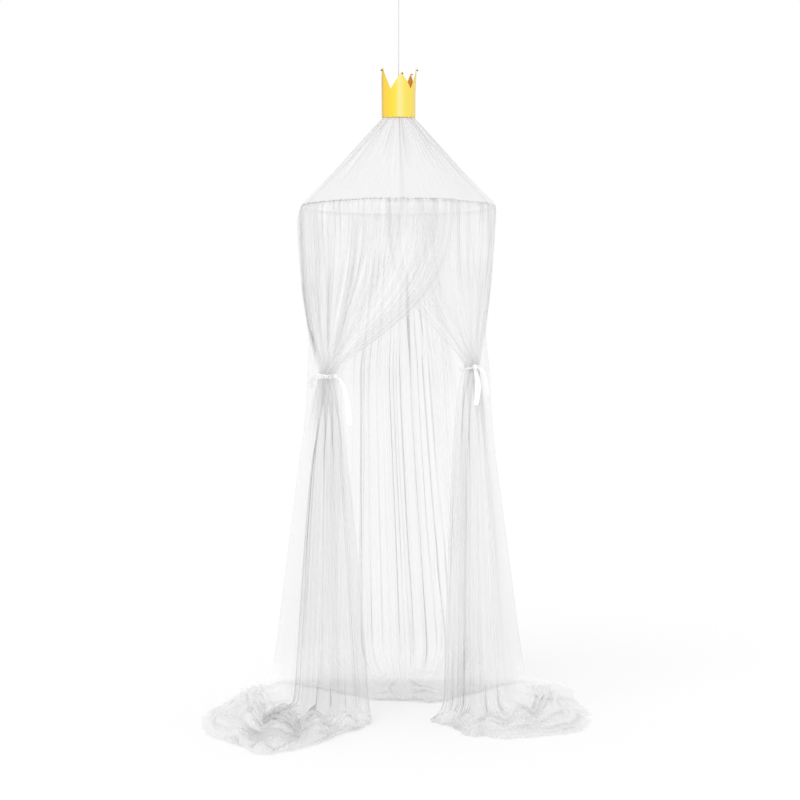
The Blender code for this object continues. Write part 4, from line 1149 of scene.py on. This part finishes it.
def make_stitches():
    """The gather stitches round the top of the hem and the ones at the crown's lower edge. Their dark
    grey is partly their own colour and partly painted shade of the gathers and the seam.
    """
    maker = bmesh.new()
    pitch = 360.0 / STITCH_COUNT
    for number in range(STITCH_COUNT):
        share = number / STITCH_COUNT
        start = -180.0 + pitch * (number + 0.15 * float(uneven(share, 60, 401)))
        # How strong the painted shade of the gathers is along the hoop: the stitches are longer and
        # thicker where it is darker, strongest on the left and gone by the right front.
        shade_weight = float(np.interp(start, (-95.0, -80.0, -40.0, 30.0, 50.0, 90.0), (0, 1, 0.8, 0.4, 0, 0)))
        long = pitch * (0.55 + 0.35 * shade_weight + 0.2 * float(uneven(share, 80, 402)))
        angles = start + long * np.array([0.0, 0.15, 0.85, 1.0])
        lift = np.where((angles > -98.0) & (angles < 35.0), overlap(angles, LEFT), 0.0)
        out = HEM_RADIUS + HEM_RUCK + 0.0006 + OVERLAP_LIFT * lift
        places = at(angles, HOOP_RADIUS + 0.76 * out, HOOP_HEIGHT + 0.65 * out)
        stitch(maker, places, 0.0005 + 0.0006 * shade_weight)
    for start in (-62.0, -41.0, -22.0, -13.0, -6.0, 1.0, 8.0, 15.0, 27.0, 44.0, 65.0):
        angles = start + np.array([0.0, 0.8, 3.6, 4.4])
        places = at(angles, CROWN_RADIUS + 0.0011, CROWN_HEIGHT + 0.0016)
        stitch(maker, tilted(places, 1.0), 0.0006)
    bmesh.ops.recalc_face_normals(maker, faces=maker.faces)
    # Dark grey: partly the stitches' own colour and partly painted shade of the gathers and seam.
    thread_and_shade = grained(
        "stitch_thread_and_shade", (0.30, 0.30, 0.31), 0.8, "Object", (900.0, 900.0, 900.0), 2.0,
        (0.20, 0.20, 0.21), (0.42, 0.42, 0.43),
    )
    made = placed("gather_stitches_and_shade", mesh_from(maker, "gather_stitches_and_shade", thread_and_shade))
    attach(made, "root")


def crown_finish():
    """Yellow satin with a painted highlight down its round front and painted shade at its left and
    right edges, and a darker lining with painted shade toward its right.
    """
    yellow = Finish("crown_satin", (0.94, 0.68, 0.05), 0.35)
    across = yellow.node("ShaderNodeSeparateXYZ")
    yellow.link(yellow.places("Object", (1.0, 1.0, 1.0)), across.inputs[0])
    spot = yellow.share(across.outputs["X"], -0.052, 0.052)
    # The outside's own yellow, with a painted highlight near the middle of its front and painted shade
    # at both sides.
    outside = yellow.ramp(
        spot, (0.0, (0.52, 0.34, 0.05)), (0.03, (0.70, 0.47, 0.05)), (0.09, (0.90, 0.60, 0.03)),
        (0.30, (0.94, 0.69, 0.03)), (0.42, (0.96, 0.74, 0.08)), (0.52, (0.98, 0.84, 0.30)),
        (0.60, (0.97, 0.81, 0.22)), (0.68, (0.95, 0.77, 0.12)), (0.88, (0.97, 0.74, 0.09)),
        (1.00, (0.82, 0.66, 0.18)),
    )
    # The lining's orange, with painted shade toward the right.
    lining = yellow.ramp(
        spot, (0.5, (0.88, 0.42, 0.02)), (0.84, (0.78, 0.30, 0.008)), (0.90, (0.42, 0.16, 0.002))
    )
    flat = yellow.node("ShaderNodeVectorMath", operation="MULTIPLY")
    flat.inputs[1].default_value = (1.0, 1.0, 0.0)
    yellow.link(yellow.places("Object", (1.0, 1.0, 1.0)), flat.inputs[0])
    facing = yellow.node("ShaderNodeVectorMath", operation="DOT_PRODUCT")
    yellow.link(flat.outputs["Vector"], facing.inputs[0])
    yellow.link(yellow.node("ShaderNodeNewGeometry").outputs["Normal"], facing.inputs[1])
    inside = yellow.share(facing.outputs["Value"], 0.0, -0.006)
    colour = yellow.mixed(inside, outside, lining)
    fibre = yellow.noise(yellow.places("Object", (60.0, 60.0, 900.0)), 3.0)
    worn = yellow.ramp(fibre, (0.3, (0.92, 0.92, 0.92)), (0.7, (1.0, 1.0, 1.0)))
    yellow.paint(yellow.mixed(0.5, colour, worn, "MULTIPLY"))
    yellow.bump(fibre, 0.15)
    return yellow


def make_finishes():
    """Better materials for the solids that stay."""
    beads = grained(
        "bead_brass", (0.05, 0.04, 0.03), 0.3, "Object", (500.0, 500.0, 500.0), 3.0,
        (0.02, 0.018, 0.015), (0.07, 0.055, 0.035),
    )
    beads.set("Metallic", 0.6)
    plastic = grained(
        "hoop_white", (0.92, 0.92, 0.91), 0.5, "Object", (300.0, 300.0, 300.0), 3.0,
        (0.90, 0.90, 0.89), (0.94, 0.94, 0.93), bump=0.1,
    )
    dress(crown_finish(), "crown")
    dress(plastic, "hoop")
    dress(beads, *(f"crown_bead_{n}" for n in range(1, 6)))


make_camera()
make_cord()
make_stage()
make_nets()
make_ribbons()
make_stitches()
make_finishes()
